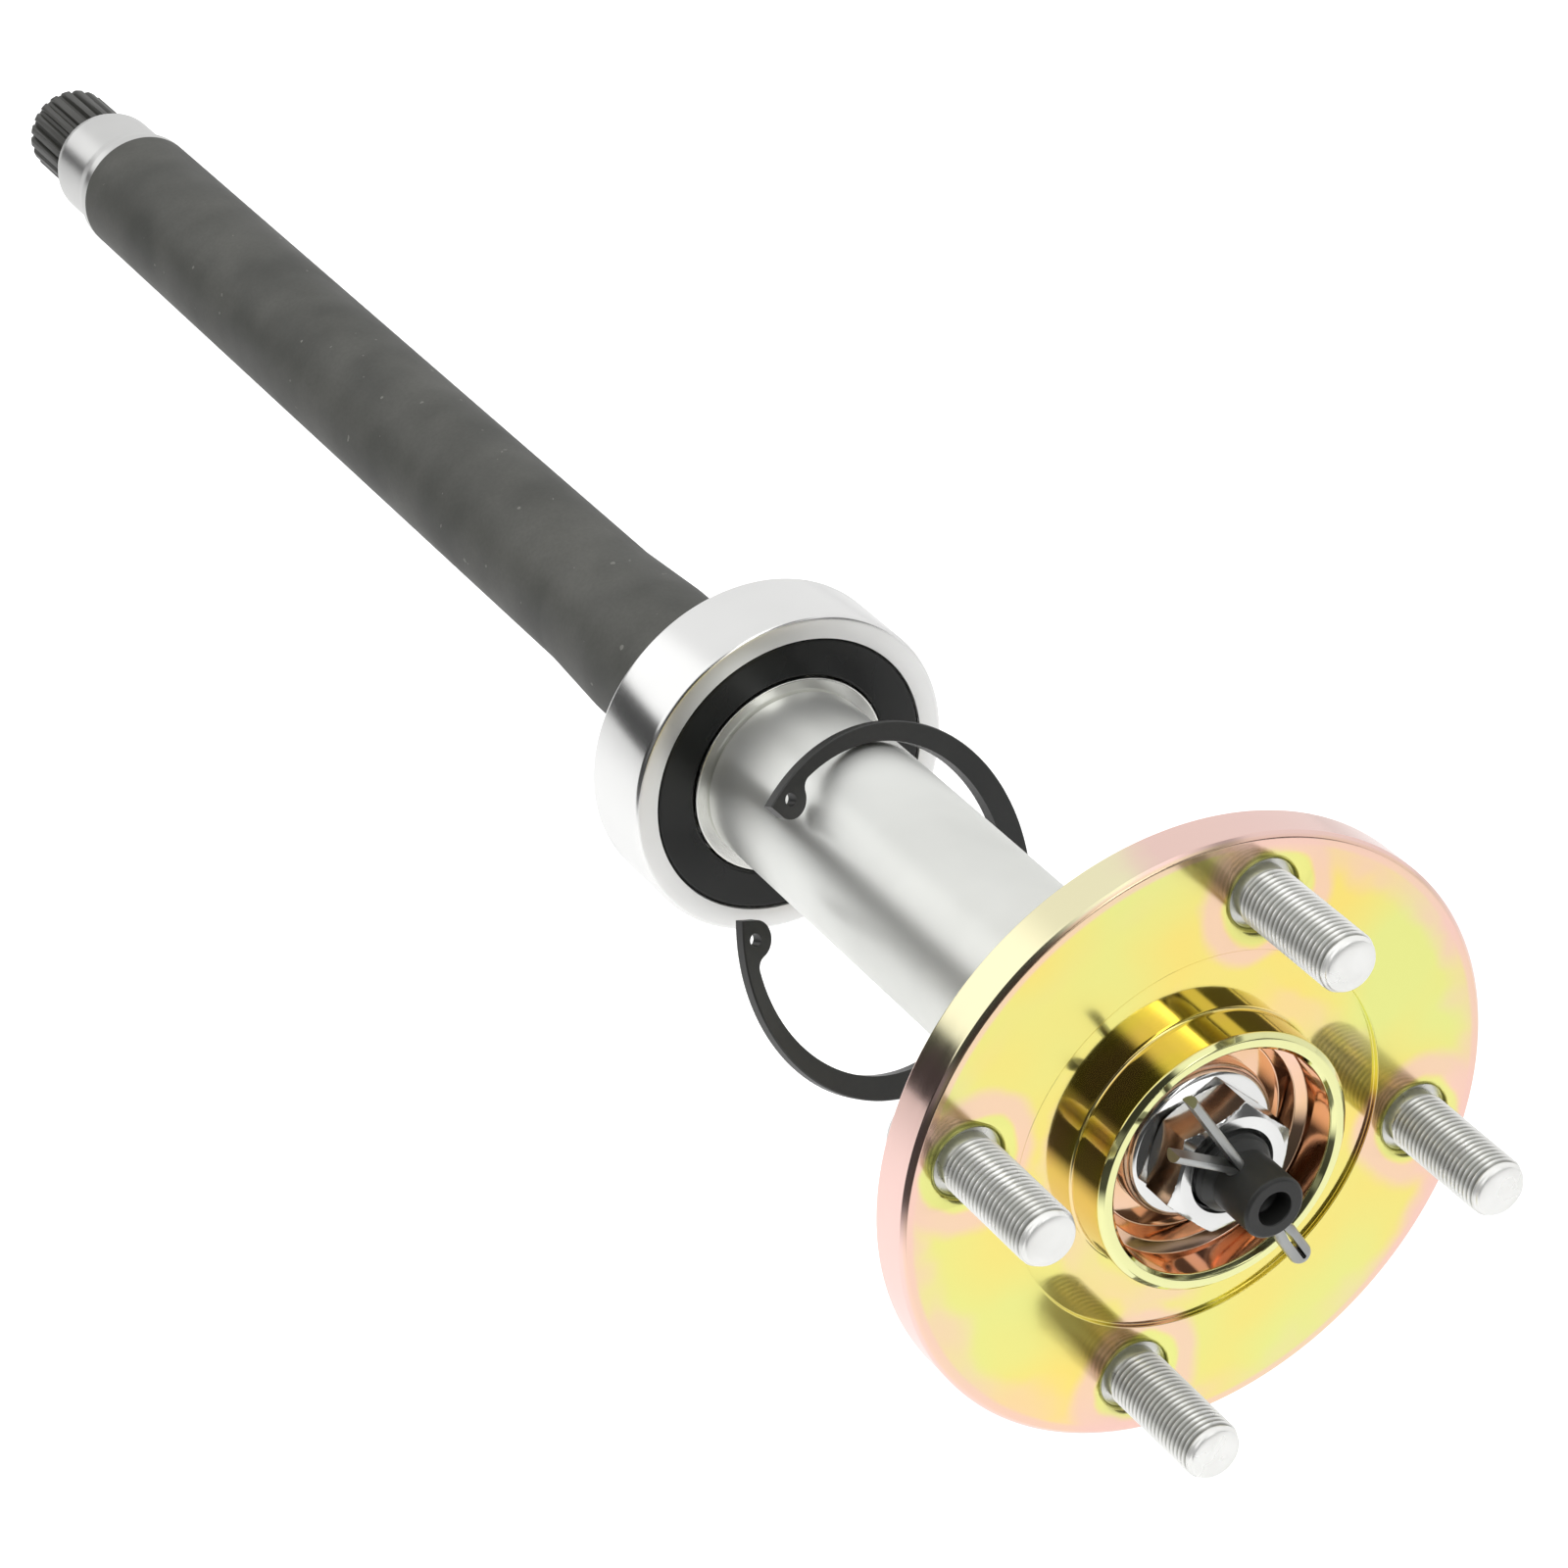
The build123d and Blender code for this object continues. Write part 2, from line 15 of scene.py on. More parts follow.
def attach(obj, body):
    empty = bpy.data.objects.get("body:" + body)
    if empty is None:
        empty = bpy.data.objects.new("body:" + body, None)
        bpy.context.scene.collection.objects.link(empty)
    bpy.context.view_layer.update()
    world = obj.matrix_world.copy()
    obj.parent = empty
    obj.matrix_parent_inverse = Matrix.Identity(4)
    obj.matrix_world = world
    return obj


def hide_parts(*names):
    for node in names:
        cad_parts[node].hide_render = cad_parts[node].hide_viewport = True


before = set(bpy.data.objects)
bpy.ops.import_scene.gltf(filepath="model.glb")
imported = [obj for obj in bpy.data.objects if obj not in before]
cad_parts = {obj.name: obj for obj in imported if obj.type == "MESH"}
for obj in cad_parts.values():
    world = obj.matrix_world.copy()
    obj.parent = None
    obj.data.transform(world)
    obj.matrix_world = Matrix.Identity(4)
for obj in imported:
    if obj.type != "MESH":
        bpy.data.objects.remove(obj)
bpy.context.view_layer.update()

# %% [markdown]
# ## The camera
# The photograph looks down on the wheel end from well outboard, with a long lens. A camera can be placed by
# eye, but here its place was worked out from the round rims of the bearing and the flange, so it is written
# as an offset and a direction from the middle of the bearing's outboard face. Sizes are in millimetres, as
# in a workshop, and MM turns them into the metres that Blender counts in. Two helpers come first, since
# every camera, lamp and mesh has to be put in the scene.
# %% Place the camera
MM = 0.001


def add_object(name, data):
    """Puts a new object with its data in the scene."""
    item = bpy.data.objects.new(name, data)
    bpy.context.scene.collection.objects.link(item)
    return item


def made_object(name, maker):
    """Turns what a mesh maker holds into an object of the scene."""
    mesh = bpy.data.meshes.new(name)
    maker.to_mesh(mesh)
    maker.free()
    return add_object(name, mesh)


bearing_half = 9.5
bearing_face = Vector((0, bearing_half, 0)) * MM
camera_offset = Vector((464.4, 814.7, 555.4)) * MM
camera_look = Vector((-0.4246, -0.7474, -0.5110))
camera_lens, sensor_width = 122.24, 36

camera_data = bpy.data.cameras.new("camera")
camera_data.lens = camera_lens
camera_data.sensor_width = sensor_width
camera = add_object("camera", camera_data)
camera.location = bearing_face + camera_offset
camera.rotation_mode = "QUATERNION"
camera.rotation_quaternion = camera_look.to_track_quat("-Z", "Y")
bpy.context.scene.camera = camera
bpy.context.scene.view_settings.view_transform = "Standard"
print("camera at", [round(value, 3) for value in camera.location])

# %% [markdown]
# ## Small node helpers
# Materials and the world are both made of nodes. A few short helpers keep their recipes readable: some do
# sums with Math nodes, one mixes two colours, one is a soft step from 0 to 1, and one makes a soft-edged
# band, which is 1 inside a range and fades to 0 outside it. A socket knows the tree that it belongs to, so
# each helper puts its node in the tree of the sockets that it is given.
# %% Node helpers
# The sockets of a Mix node that mixes colours: its share, its two colours and its result.
mix_share, mix_first, mix_second, mix_result = 0, 6, 7, 2


def add_node(tree, kind):
    """Puts a new shader node in a tree."""
    return tree.nodes.new("ShaderNode" + kind)


def link(source, target):
    """Joins an output socket to an input socket of the same tree."""
    source.id_data.links.new(source, target)


def math_node(operation, *values):
    """A Math node whose inputs are numbers or sockets, in the tree of its first socket."""
    tree = next(value.id_data for value in values if isinstance(value, bpy.types.NodeSocket))
    node = add_node(tree, "Math")
    node.operation = operation
    for place, value in enumerate(values):
        if isinstance(value, (int, float)):
            node.inputs[place].default_value = value
        else:
            link(value, node.inputs[place])
    return node.outputs[0]


def times(first, second):
    """The product of two sockets, or of a socket and a number."""
    return math_node("MULTIPLY", first, second)


def times_plus(value, factor, added):
    """A socket times a factor, with something added."""
    return math_node("MULTIPLY_ADD", value, factor, added)


def mix_colour(share, first, second):
    """Mixes two colours, each a tuple or a socket, by the share that a socket gives."""
    node = add_node(share.id_data, "Mix")
    node.data_type = "RGBA"
    link(share, node.inputs[mix_share])
    for place, value in ((mix_first, first), (mix_second, second)):
        if isinstance(value, tuple):
            node.inputs[place].default_value = (*value, 1)
        else:
            link(value, node.inputs[place])
    return node.outputs[mix_result]


def ramp(value, start, end):
    """Rises smoothly from 0 to 1 as a value goes from start to end; end may be the lower one."""
    node = add_node(value.id_data, "MapRange")
    node.interpolation_type = "SMOOTHSTEP"
    limits = (start, end, 0, 1) if start < end else (end, start, 1, 0)
    for label, limit in zip(("From Min", "From Max", "To Min", "To Max"), limits):
        node.inputs[label].default_value = limit
    link(value, node.inputs["Value"])
    return node.outputs[0]


def band(value, start, full, fade, end):
    """0 before start, 1 from full to fade, and 0 again after end."""
    return times(ramp(value, start, full), ramp(value, end, fade))


# %% [markdown]
# ## A light tent
# Polished metal shows what stands round it, so its look is mostly the room. A product like this is
# photographed in a white tent with a few darker gaps. The world below is that tent. A direction is told by
# its angle round the axle and by whether it points inboard or outboard. The round walls of the sleeve and
# the rings mirror the inboard half: pale, with one bright strip and one dark. The hub's pilot mirrors the
# outboard half, with the dark side of the room where the camera stands, a dim strip in it, a narrow bright
# strip between dark ones, and a bright ceiling. Seen directly, the world is plain white.
# %% The world
tent_tone, room_tone, ceiling_tone = 0.92, 0.045, 1.1
outboard_fade, ceiling_fade = (0.36, 0.60), (0.675, 0.715)
plain_white = (1, 1, 1)


def grey(tone):
    """A tone without a hue, as a colour."""
    return (tone, tone, tone)


world = bpy.data.worlds.new("tent")
bpy.context.scene.world = world
world.use_nodes = True
sky = world.node_tree
sky.nodes.clear()
split = add_node(sky, "SeparateXYZ")
link(add_node(sky, "TexCoord").outputs["Generated"], split.inputs[0])
east, outboard, height = split.outputs
round_axle = times(math_node("ARCTAN2", height, east), math.degrees(1))
outboard_side = ramp(outboard, *outboard_fade)
inboard_side = math_node("SUBTRACT", 1.0, outboard_side)

# Each strip: its half of the tent, where it starts, is full, fades and ends in degrees, and its tone.
tent_strips = [
    (inboard_side, (19, 27, 58, 74), 1.22),
    (inboard_side, (-25, -7, 18, 22), 0.05),
    (outboard_side, (-60, -35, 88, 94), room_tone),
    (outboard_side, (-4, 4, 8, 18), 0.22),
    (outboard_side, (91, 94, 112, 116), 2.8),
    (outboard_side, (113, 116, 132, 136), 0.06),
    (outboard_side, (146, 150, 176, 200), 0.10),
]
tent = grey(tent_tone)
for side, edges, tone in tent_strips:
    tent = mix_colour(times(band(round_axle, *edges), side), tent, grey(tone))
tent = mix_colour(times(ramp(height, *ceiling_fade), outboard_side), tent, grey(ceiling_tone))
light_path = add_node(sky, "LightPath")
seen = mix_colour(light_path.outputs["Is Camera Ray"], tent, plain_white)
background = add_node(sky, "Background")
link(seen, background.inputs["Color"])
world_out = add_node(sky, "OutputWorld")
link(background.outputs[0], world_out.inputs[0])
print("world nodes:", len(sky.nodes))

# %% [markdown]
# ## Floor
# The floor lies well below the axle, so only a faint wide shadow reaches it. It is one flat sheet, because
# nothing stands on it.
# %% Floor
floor_drop = 330 * MM
floor_half = 6
floor_maker = bmesh.new()
bmesh.ops.create_grid(floor_maker, x_segments=2, y_segments=2, size=floor_half)
floor = made_object("floor", floor_maker)
floor.location = (0, 0, -floor_drop)
print("floor at", round(floor.location.z, 3))

# %% [markdown]
# ## Paper
# The floor is white and diffuse, with a little glow for the camera, which keeps it as white as the paper
# behind the real product. Far outboard, to one side, glossy rays see the floor painted dark: a painted
# reflection of a dark room, which only mirrors see.
# %% Paper
paper_white, painted_reflection_dark, paper_glow = grey(0.9), grey(0.06), 0.35
edge_across, edge_outboard, edge_fade = 0.6, 0.8, (0.52, 0.85)


def object_place(tree):
    """The three object coordinates of a point, in metres."""
    place = add_node(tree, "SeparateXYZ")
    link(add_node(tree, "TexCoord").outputs["Object"], place.inputs[0])
    return place.outputs


paper = bpy.data.materials.new("paper")
paper.use_nodes = True
paper_tree = paper.node_tree
paper_tree.nodes.clear()
paper_path = add_node(paper_tree, "LightPath")
paper_x, paper_y = object_place(paper_tree)[:2]
# Painted reflection: far outboard, glossy rays see the floor dark, as if a dark room stood there.
towards_edge = times_plus(paper_y, edge_outboard, times(paper_x, edge_across))
past_edge = ramp(towards_edge, *edge_fade)
painted_reflection_mask = times(past_edge, paper_path.outputs["Is Glossy Ray"])
paper_diffuse = add_node(paper_tree, "BsdfDiffuse")
link(mix_colour(painted_reflection_mask, paper_white, painted_reflection_dark), paper_diffuse.inputs["Color"])
glow_strength = times(paper_path.outputs["Is Camera Ray"], paper_glow)
paper_emission = add_node(paper_tree, "Emission")
link(glow_strength, paper_emission.inputs["Strength"])
paper_sum = add_node(paper_tree, "AddShader")
link(paper_diffuse.outputs[0], paper_sum.inputs[0])
link(paper_emission.outputs[0], paper_sum.inputs[1])
paper_out = add_node(paper_tree, "OutputMaterial")
link(paper_sum.outputs[0], paper_out.inputs[0])
floor.data.materials.append(paper)
print("paper nodes:", len(paper_tree.nodes))

# %% [markdown]
# ## Lamp
# One wide lamp overhead gives the light a side without making hard shadows. It stays out of the mirrors,
# because the tent already draws the reflections.
# %% Lamp
lamp_place, lamp_size, lamp_energy = Vector((0.5, 0.3, 1.3)), (1.6, 1.2), 15
lamp_data = bpy.data.lights.new("overhead", "AREA")
lamp_data.shape = "RECTANGLE"
lamp_data.size, lamp_data.size_y = lamp_size
lamp_data.energy = lamp_energy
lamp = add_object("overhead", lamp_data)
lamp.location = lamp_place
lamp.rotation_mode = "QUATERNION"
lamp.rotation_quaternion = (-lamp_place).to_track_quat("-Z", "Y")
lamp.visible_glossy = False
print("lamp energy:", lamp_data.energy)

# %% [markdown]
# ## Sections with soft corners
# Nearly every piece here was made on a lathe, so it is drawn the way a lathe sees it: as a half section, a
# list of radius and place along the axle. Sharp corners never stay sharp on real parts, so one helper
# rounds each corner of the section first, with guard points that keep the flats flat. Another draws the
# true arcs of fillets and rounded rims.
# %% Section helpers
nearly_zero = 1e-6
largest_bite = 0.3
guard_reach = 1.4


def soften(outline, radius, steps=3, square=None):
    """Rounds the corners of a closed outline of (radius, place) points, all but those on the axis.

    Each rounded corner becomes steps + 3 points: a guard, the curve and another guard. The corner whose
    number is square stays sharp.
    """
    points = [Vector(point) for point in outline]
    result = []
    for number, corner in enumerate(points):
        before, after = points[number - 1], points[(number + 1) % len(points)]
        into, out_of = before - corner, after - corner
        if number == square or min(corner.x, into.length, out_of.length) < nearly_zero:
            result.append((corner.x, corner.y))
            continue
        reach = min(radius, into.length * largest_bite, out_of.length * largest_bite)
        into, out_of = into.normalized() * reach, out_of.normalized() * reach
        start, end = corner + into, corner + out_of
        result.append(tuple(corner + into * guard_reach))
        for step in range(steps + 1):
            share = step / steps
            near, far = start.lerp(corner, share), corner.lerp(end, share)
            result.append(tuple(near.lerp(far, share)))
        result.append(tuple(corner + out_of * guard_reach))
    return result


def arc(across, place, radius, start, end, steps=6):
    """Points of an arc in the half section: its centre, its radius, and its angles in degrees."""
    turns = [math.radians(start + (end - start) * step / steps) for step in range(steps + 1)]
    return [(across + radius * math.cos(turn), place + radius * math.sin(turn)) for turn in turns]


# %% [markdown]
# ## Turning on a lathe
# A lathe sweeps the section round the axle, and so does this helper. It can also move a point in or out by
# its angle, which gives threads, splines and hexagons. Two more helpers hand the piece over: one puts a new
# piece on its body in place of a solid of the frame, and the other gives a solid that keeps its shape a
# better finish.
# %% The lathe
def smoothed(piece, sharp):
    """Shades a piece smooth, apart from edges whose faces meet at more than sharp degrees."""
    piece.data.shade_smooth()
    piece.data.set_sharp_from_angle(angle=math.radians(sharp))
    return piece


def spin(name, outline, angles, radius_at=None, sharp=40):
    """Sweeps a closed outline in millimetres round the Y axis.

    angles is their number, or a list of them in radians. radius_at may change a ring's radius by place and
    angle.
    """
    turns = angles if isinstance(angles, list) else [step * math.tau / angles for step in range(angles)]
    maker = bmesh.new()
    rings = []
    for radius, place in outline:
        if radius < nearly_zero:
            rings.append([maker.verts.new((0, place * MM, 0))])
            continue
        ring = []
        for turn in turns:
            reach = radius_at(radius, place, turn) if radius_at else radius
            east, up = reach * math.cos(turn) * MM, reach * math.sin(turn) * MM
            ring.append(maker.verts.new((east, place * MM, up)))
        rings.append(ring)
    for number, ring in enumerate(rings):
        other = rings[(number + 1) % len(rings)]
        for spot in range(len(turns)):
            after = (spot + 1) % len(turns)
            corners = [ring[spot % len(ring)], ring[after % len(ring)]]
            corners += [other[after % len(other)], other[spot % len(other)]]
            unique = list(dict.fromkeys(corners))
            if len(unique) > 2:
                maker.faces.new(unique)
    bmesh.ops.recalc_face_normals(maker, faces=maker.faces)
    return smoothed(made_object(name, maker), sharp)


def fit(piece, body, node, slot, *materials):
    """Puts a finished piece on its body, in place of its CAD node, with its materials."""
    for material in materials:
        piece.data.materials.append(material)
    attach(piece, body)
    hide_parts(node)
    print(piece.name, "faces:", len(piece.data.polygons))


def dress(node, material):
    """Gives a CAD node that keeps its own shape a better finish."""
    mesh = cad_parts[node].data
    mesh.materials.clear()
    mesh.materials.append(material)


# %% [markdown]
# ## Shared effects
# Three effects return on many finishes, so each is a node group. Tool marks are fine rings round the axle,
# on round walls and on faces alike, as a lathe or a grinder leaves them. Cloudy patches are the soft stains
# of a plating or phosphate bath. Nicks are the small pale specks that handling leaves.
# %% Effect helpers
def new_group(name, inputs, outputs):
    """An empty shader group with named number inputs and named outputs."""
    group = bpy.data.node_groups.new(name, "ShaderNodeTree")
    for label, value in inputs:
        socket = group.interface.new_socket(label, in_out="INPUT", socket_type="NodeSocketFloat")
        socket.default_value = value
    for label in outputs:
        group.interface.new_socket(label, in_out="OUTPUT", socket_type="NodeSocketFloat")
    return group, group.nodes.new("NodeGroupInput").outputs, group.nodes.new("NodeGroupOutput").inputs


def distance_from(across, height):
    """The length of a step across and up, as a socket."""
    across_squared, height_squared = (math_node("POWER", side, 2.0) for side in (across, height))
    return math_node("SQRT", math_node("ADD", across_squared, height_squared))


def place_noise(scale, detail, stretch=(1, 1, 1), roughness=0.55, vector=None):
    """Noise on the object's own coordinates, or on another vector, stretched along each axis."""
    tree = scale.id_data
    source = vector or add_node(tree, "TexCoord").outputs["Object"]
    mapping = add_node(tree, "Mapping")
    mapping.inputs["Scale"].default_value = stretch
    link(source, mapping.inputs["Vector"])
    noise = add_node(tree, "TexNoise")
    noise.inputs["Detail"].default_value = detail
    noise.inputs["Roughness"].default_value = roughness
    link(mapping.outputs[0], noise.inputs["Vector"])
    link(scale, noise.inputs["Scale"])
    return noise.outputs["Fac"]


# %% [markdown]
# ## The three effect groups
# The tool marks are noise that hardly changes round the axle: it reads only a point's distance from the
# axle and its place along it, and a trace of its sideways place keeps the rings from being perfect. The
# clouds come as a pair whose second one is stretched another way, so that colour and shine never change
# together. A nick is where fine noise falls below a low limit.
# %% Effect groups
ring_waver, second_stretch, rare_noise = 0.01, (-1.3, 0.8, 1.1), 0.2

marks_group, marks_in, marks_out = new_group("tool_marks", [("Fineness", 900.0)], ["Mark"])
marks_x, marks_y, marks_z = object_place(marks_group)
marks_vector = add_node(marks_group, "CombineXYZ")
link(distance_from(marks_x, marks_z), marks_vector.inputs[0])
link(marks_y, marks_vector.inputs[1])
link(times(marks_x, ring_waver), marks_vector.inputs[2])
ring_place = marks_vector.outputs[0]
fine_rings = place_noise(marks_in["Fineness"], 4.0, roughness=0.7, vector=ring_place)
link(fine_rings, marks_out["Mark"])

cloud_inputs = [("Size", 20.0), ("Contrast", 2.0)]
cloud_group, cloud_in, cloud_out = new_group("bath_clouds", cloud_inputs, ["Cloud", "Second Cloud"])
for label, stretch in (("Cloud", (1, 1, 1)), ("Second Cloud", second_stretch)):
    cloud = place_noise(cloud_in["Size"], 2.5, stretch)
    centred = math_node("SUBTRACT", cloud, 0.5)
    spread = times_plus(centred, cloud_in["Contrast"], 0.5)
    clamp = add_node(cloud_group, "Clamp")
    link(spread, clamp.inputs[0])
    link(clamp.outputs[0], cloud_out[label])

nick_group, nick_in, nick_out = new_group("nicks", [("Spacing", 300.0), ("Amount", 0.06)], ["Nick"])
nick_noise = place_noise(nick_in["Spacing"], 1.0)
nick_limit = math_node("ADD", nick_in["Amount"], rare_noise)
link(math_node("LESS_THAN", nick_noise, nick_limit), nick_out["Nick"])
print("groups:", [group.name for group in bpy.data.node_groups])

# %% [markdown]
# ## Starting a finish
# Every finish starts as a Principled shader with its metallic value and roughness. Brushed finishes also
# get a tangent that runs round the axle, because the rings that a tool cut blur light across themselves.
# The other helpers place an effect group in a material, link its colour and roughness, and let a pattern
# stand up from the surface as a bump.
# %% Finish helpers
quarter_turn = 0.25


def new_finish(name, metallic, roughness, brushed=0.0):
    """A material with a Principled shader. Brushed finishes blur light across the rings that a tool cut."""
    material = bpy.data.materials.new(name)
    material.use_nodes = True
    tree = material.node_tree
    shader = tree.nodes["Principled BSDF"]
    shader.inputs["Metallic"].default_value = metallic
    shader.inputs["Roughness"].default_value = roughness
    if brushed:
        shader.inputs["Anisotropic"].default_value = brushed
        shader.inputs["Anisotropic Rotation"].default_value = quarter_turn
        tangent = add_node(tree, "Tangent")
        tangent.direction_type = "RADIAL"
        tangent.axis = "Y"
        link(tangent.outputs[0], shader.inputs["Tangent"])
    return material, tree, shader


def use_group(tree, group, **values):
    """Places a group in a material and sets its inputs by name."""
    node = add_node(tree, "Group")
    node.node_tree = group
    for label, value in values.items():
        node.inputs[label].default_value = value
    return node.outputs


def paint(shader, colour, roughness):
    """Gives a finish its colour and its roughness, both as sockets."""
    link(colour, shader.inputs["Base Color"])
    link(roughness, shader.inputs["Roughness"])


def bump(shader, height, distance, strength=1.0):
    """Lets a pattern stand up from the surface by a distance in metres."""
    node = add_node(height.id_data, "Bump")
    node.inputs["Distance"].default_value = distance
    node.inputs["Strength"].default_value = strength
    link(height, node.inputs["Height"])
    link(node.outputs[0], shader.inputs["Normal"])


# %% [markdown]
# ## Turned and ground steel
# Bright steel is nearly colourless. What tells a ground journal from a polished sleeve is how far its tool
# marks blur the reflections, and in which direction. Rings round the axle blur along it and stay sharper
# round it, which is why the sleeve shows long clean streaks but no image of its neighbours. Faint clouds
# stain the plating. The marks and the clouds together swing the roughness by one and a half times the blur,
# so it starts half of that lower.
# %% Steel recipe
def steel(name, colour, roughness, fineness, blur, depth, stain=0.15, brushed=0.0, metallic=1.0,
          rougher=None):
    """Bare or bright-plated steel with fine rings and faint stains. rougher may add roughness by place."""
    material, tree, shader = new_finish(name, metallic, roughness, brushed)
    marks = use_group(tree, marks_group, Fineness=fineness)
    cloud = use_group(tree, cloud_group, Size=35.0, Contrast=2.4)
    darker = tuple(value * (1 - stain) for value in colour)
    cloudy = times_plus(cloud["Second Cloud"], blur / 2, roughness - blur * 0.75)
    if rougher:
        cloudy = math_node("ADD", cloudy, rougher(tree))
    paint(shader, mix_colour(cloud["Cloud"], darker, colour), times_plus(marks["Mark"], blur, cloudy))
    bump(shader, marks["Mark"], depth * MM)
    return material


def dull_far_end(tree):
    """The sleeve shines most beside the bearing and gets duller towards the hub."""
    still_bright, fully_dull, added = 30 * MM, 75 * MM, 0.17
    return times(ramp(object_place(tree)[1], still_bright, fully_dull), added)


def dull_face(tree):
    """The flat face of the outer ring is coarser than its ground outside."""
    ground_from, coarse_to, added = 35.6 * MM, 34.9 * MM, 0.22
    place = object_place(tree)
    from_middle = distance_from(place[0], place[2])
    return times(ramp(from_middle, ground_from, coarse_to), added)


# %% [markdown]
# ## The steels of the axle
# Each steel of the axle is that recipe with its own values: the sleeve is polished, the rings and the
# journal are ground, the washer and the nut are bright plated, the cotter pin is dull, and the parts inside
# the bearing are plain. Fineness counts the rings, blur is how much they spread the shine, and depth is how
# high they stand in millimetres.
# %% Steel finishes
sleeve_steel = steel("sleeve_steel", (0.87, 0.88, 0.85), 0.29, fineness=700.0, blur=0.03, depth=0.0002,
                     stain=0.10, brushed=0.85, metallic=0.88, rougher=dull_far_end)
ground_steel = steel("ground_steel", (0.86, 0.86, 0.85), 0.20, fineness=1200.0, blur=0.08, depth=0.002,
                     stain=0.06, brushed=0.5, rougher=dull_face)
journal_steel = steel("journal_steel", (0.70, 0.70, 0.69), 0.33, fineness=1200.0, blur=0.10, depth=0.003,
                      stain=0.12, brushed=0.5)
race_steel = steel("race_steel", (0.80, 0.80, 0.76), 0.26, fineness=1200.0, blur=0.08, depth=0.002,
                   stain=0.10, brushed=0.5)
bright_zinc = steel("bright_zinc", (0.80, 0.80, 0.79), 0.14, fineness=500.0, blur=0.08, depth=0.003,
                    stain=0.12)
grey_zinc = steel("grey_zinc", (0.52, 0.53, 0.52), 0.34, fineness=600.0, blur=0.12, depth=0.010,
                  stain=0.45)
ball_steel = steel("ball_steel", (0.80, 0.80, 0.80), 0.08, fineness=300.0, blur=0.03, depth=0.001)
pressed_steel = steel("pressed_steel", (0.60, 0.60, 0.57), 0.30, fineness=300.0, blur=0.10, depth=0.003)
print("materials so far:", len(bpy.data.materials))

# %% [markdown]
# ## Dark phosphate
# The shaft and the snap ring are phosphated: a thin grey-green crystal coat that scatters light like a dull
# paint, with a weak oily shine on top, so it is mostly a plain diffuse colour. Soft blotches and pale pin
# specks break it.
# %% Dark finishes
grain_share, grain_tone, speck_tone, shine_swing = 0.30, 0.45, 1.7, 0.12


def phosphate(name, colour, pale, roughness, shine, specks=0.0):
    """A dark crystal coat: mottled from colour to pale, dull, with a weak shine and pale pin specks."""
    material, tree, shader = new_finish(name, 0.0, roughness)
    shader.inputs["Specular IOR Level"].default_value = shine
    cloud = use_group(tree, cloud_group, Size=42.0, Contrast=2.6)
    fine = use_group(tree, cloud_group, Size=1100.0, Contrast=1.4)
    speck = use_group(tree, nick_group, Spacing=420.0, Amount=specks)
    darker = tuple(value * grain_tone for value in colour)
    lighter = tuple(value * speck_tone for value in pale)
    mottled = mix_colour(cloud["Cloud"], colour, pale)
    grained = mix_colour(times(fine["Cloud"], grain_share), mottled, darker)
    varied = times_plus(cloud["Second Cloud"], shine_swing, roughness - shine_swing / 2)
    paint(shader, mix_colour(speck["Nick"], grained, lighter), varied)
    bump(shader, fine["Second Cloud"], 0.01 * MM, strength=0.5)
    return material


shaft_coat = phosphate("shaft_coat", (0.044, 0.045, 0.040), (0.080, 0.080, 0.072), 0.55,
                       shine=0.35, specks=0.03)
ring_coat = phosphate("ring_coat", (0.016, 0.017, 0.017), (0.023, 0.023, 0.022), 0.34,
                      shine=0.50)
nose_coat = phosphate("nose_coat", (0.013, 0.014, 0.013), (0.020, 0.020, 0.019), 0.42,
                      shine=0.45)
spline_coat = phosphate("spline_coat", (0.024, 0.024, 0.020), (0.036, 0.036, 0.031), 0.45,
                        shine=0.50)
print("materials so far:", len(bpy.data.materials))

# %% [markdown]
# ## Yellow zinc
# The hub is zinc plated and passivated yellow. The film is so thin that it plays like a soap bubble: mostly
# straw yellow, green where it thins and rose where it thickens. It thickens where the bath lingered:
# towards the rim, in a halo round each stud, and deep in the well, which goes to copper. The upper side,
# towards the lamp, is painted lighter: painted light takes the rose off the face and turns the wall pale.
# So the finish reads a point's distance from the axle, from the nearest stud and up that lit side, and lets
# clouds break up every border. The metal under it still mirrors its studs.
# %% Yellow zinc places
well_floor, recess_floor, flange_back, flange_face, pilot_face = 157.0, 160.0, 151.0, 161.0, 169.7
stud_circle, stud_first = 50.8, 13.5
stud_wander, middle_wander = 3.0, 2.6
lit_side_across, lit_side_up = 0.57, 0.82


def nearest_stud(across, height):
    """Millimetres to the nearest stud. Turned so that the four sit on the diagonals, they fold onto one."""
    fold = math.radians(45 - stud_first)
    turned_x = times_plus(height, -math.sin(fold) / MM, times(across, math.cos(fold) / MM))
    turned_z = times_plus(height, math.cos(fold) / MM, times(across, math.sin(fold) / MM))
    diagonal = stud_circle * math.cos(math.radians(45))
    stud_across = math_node("SUBTRACT", math_node("ABSOLUTE", turned_x), diagonal)
    stud_up = math_node("SUBTRACT", math_node("ABSOLUTE", turned_z), diagonal)
    return distance_from(stud_across, stud_up)


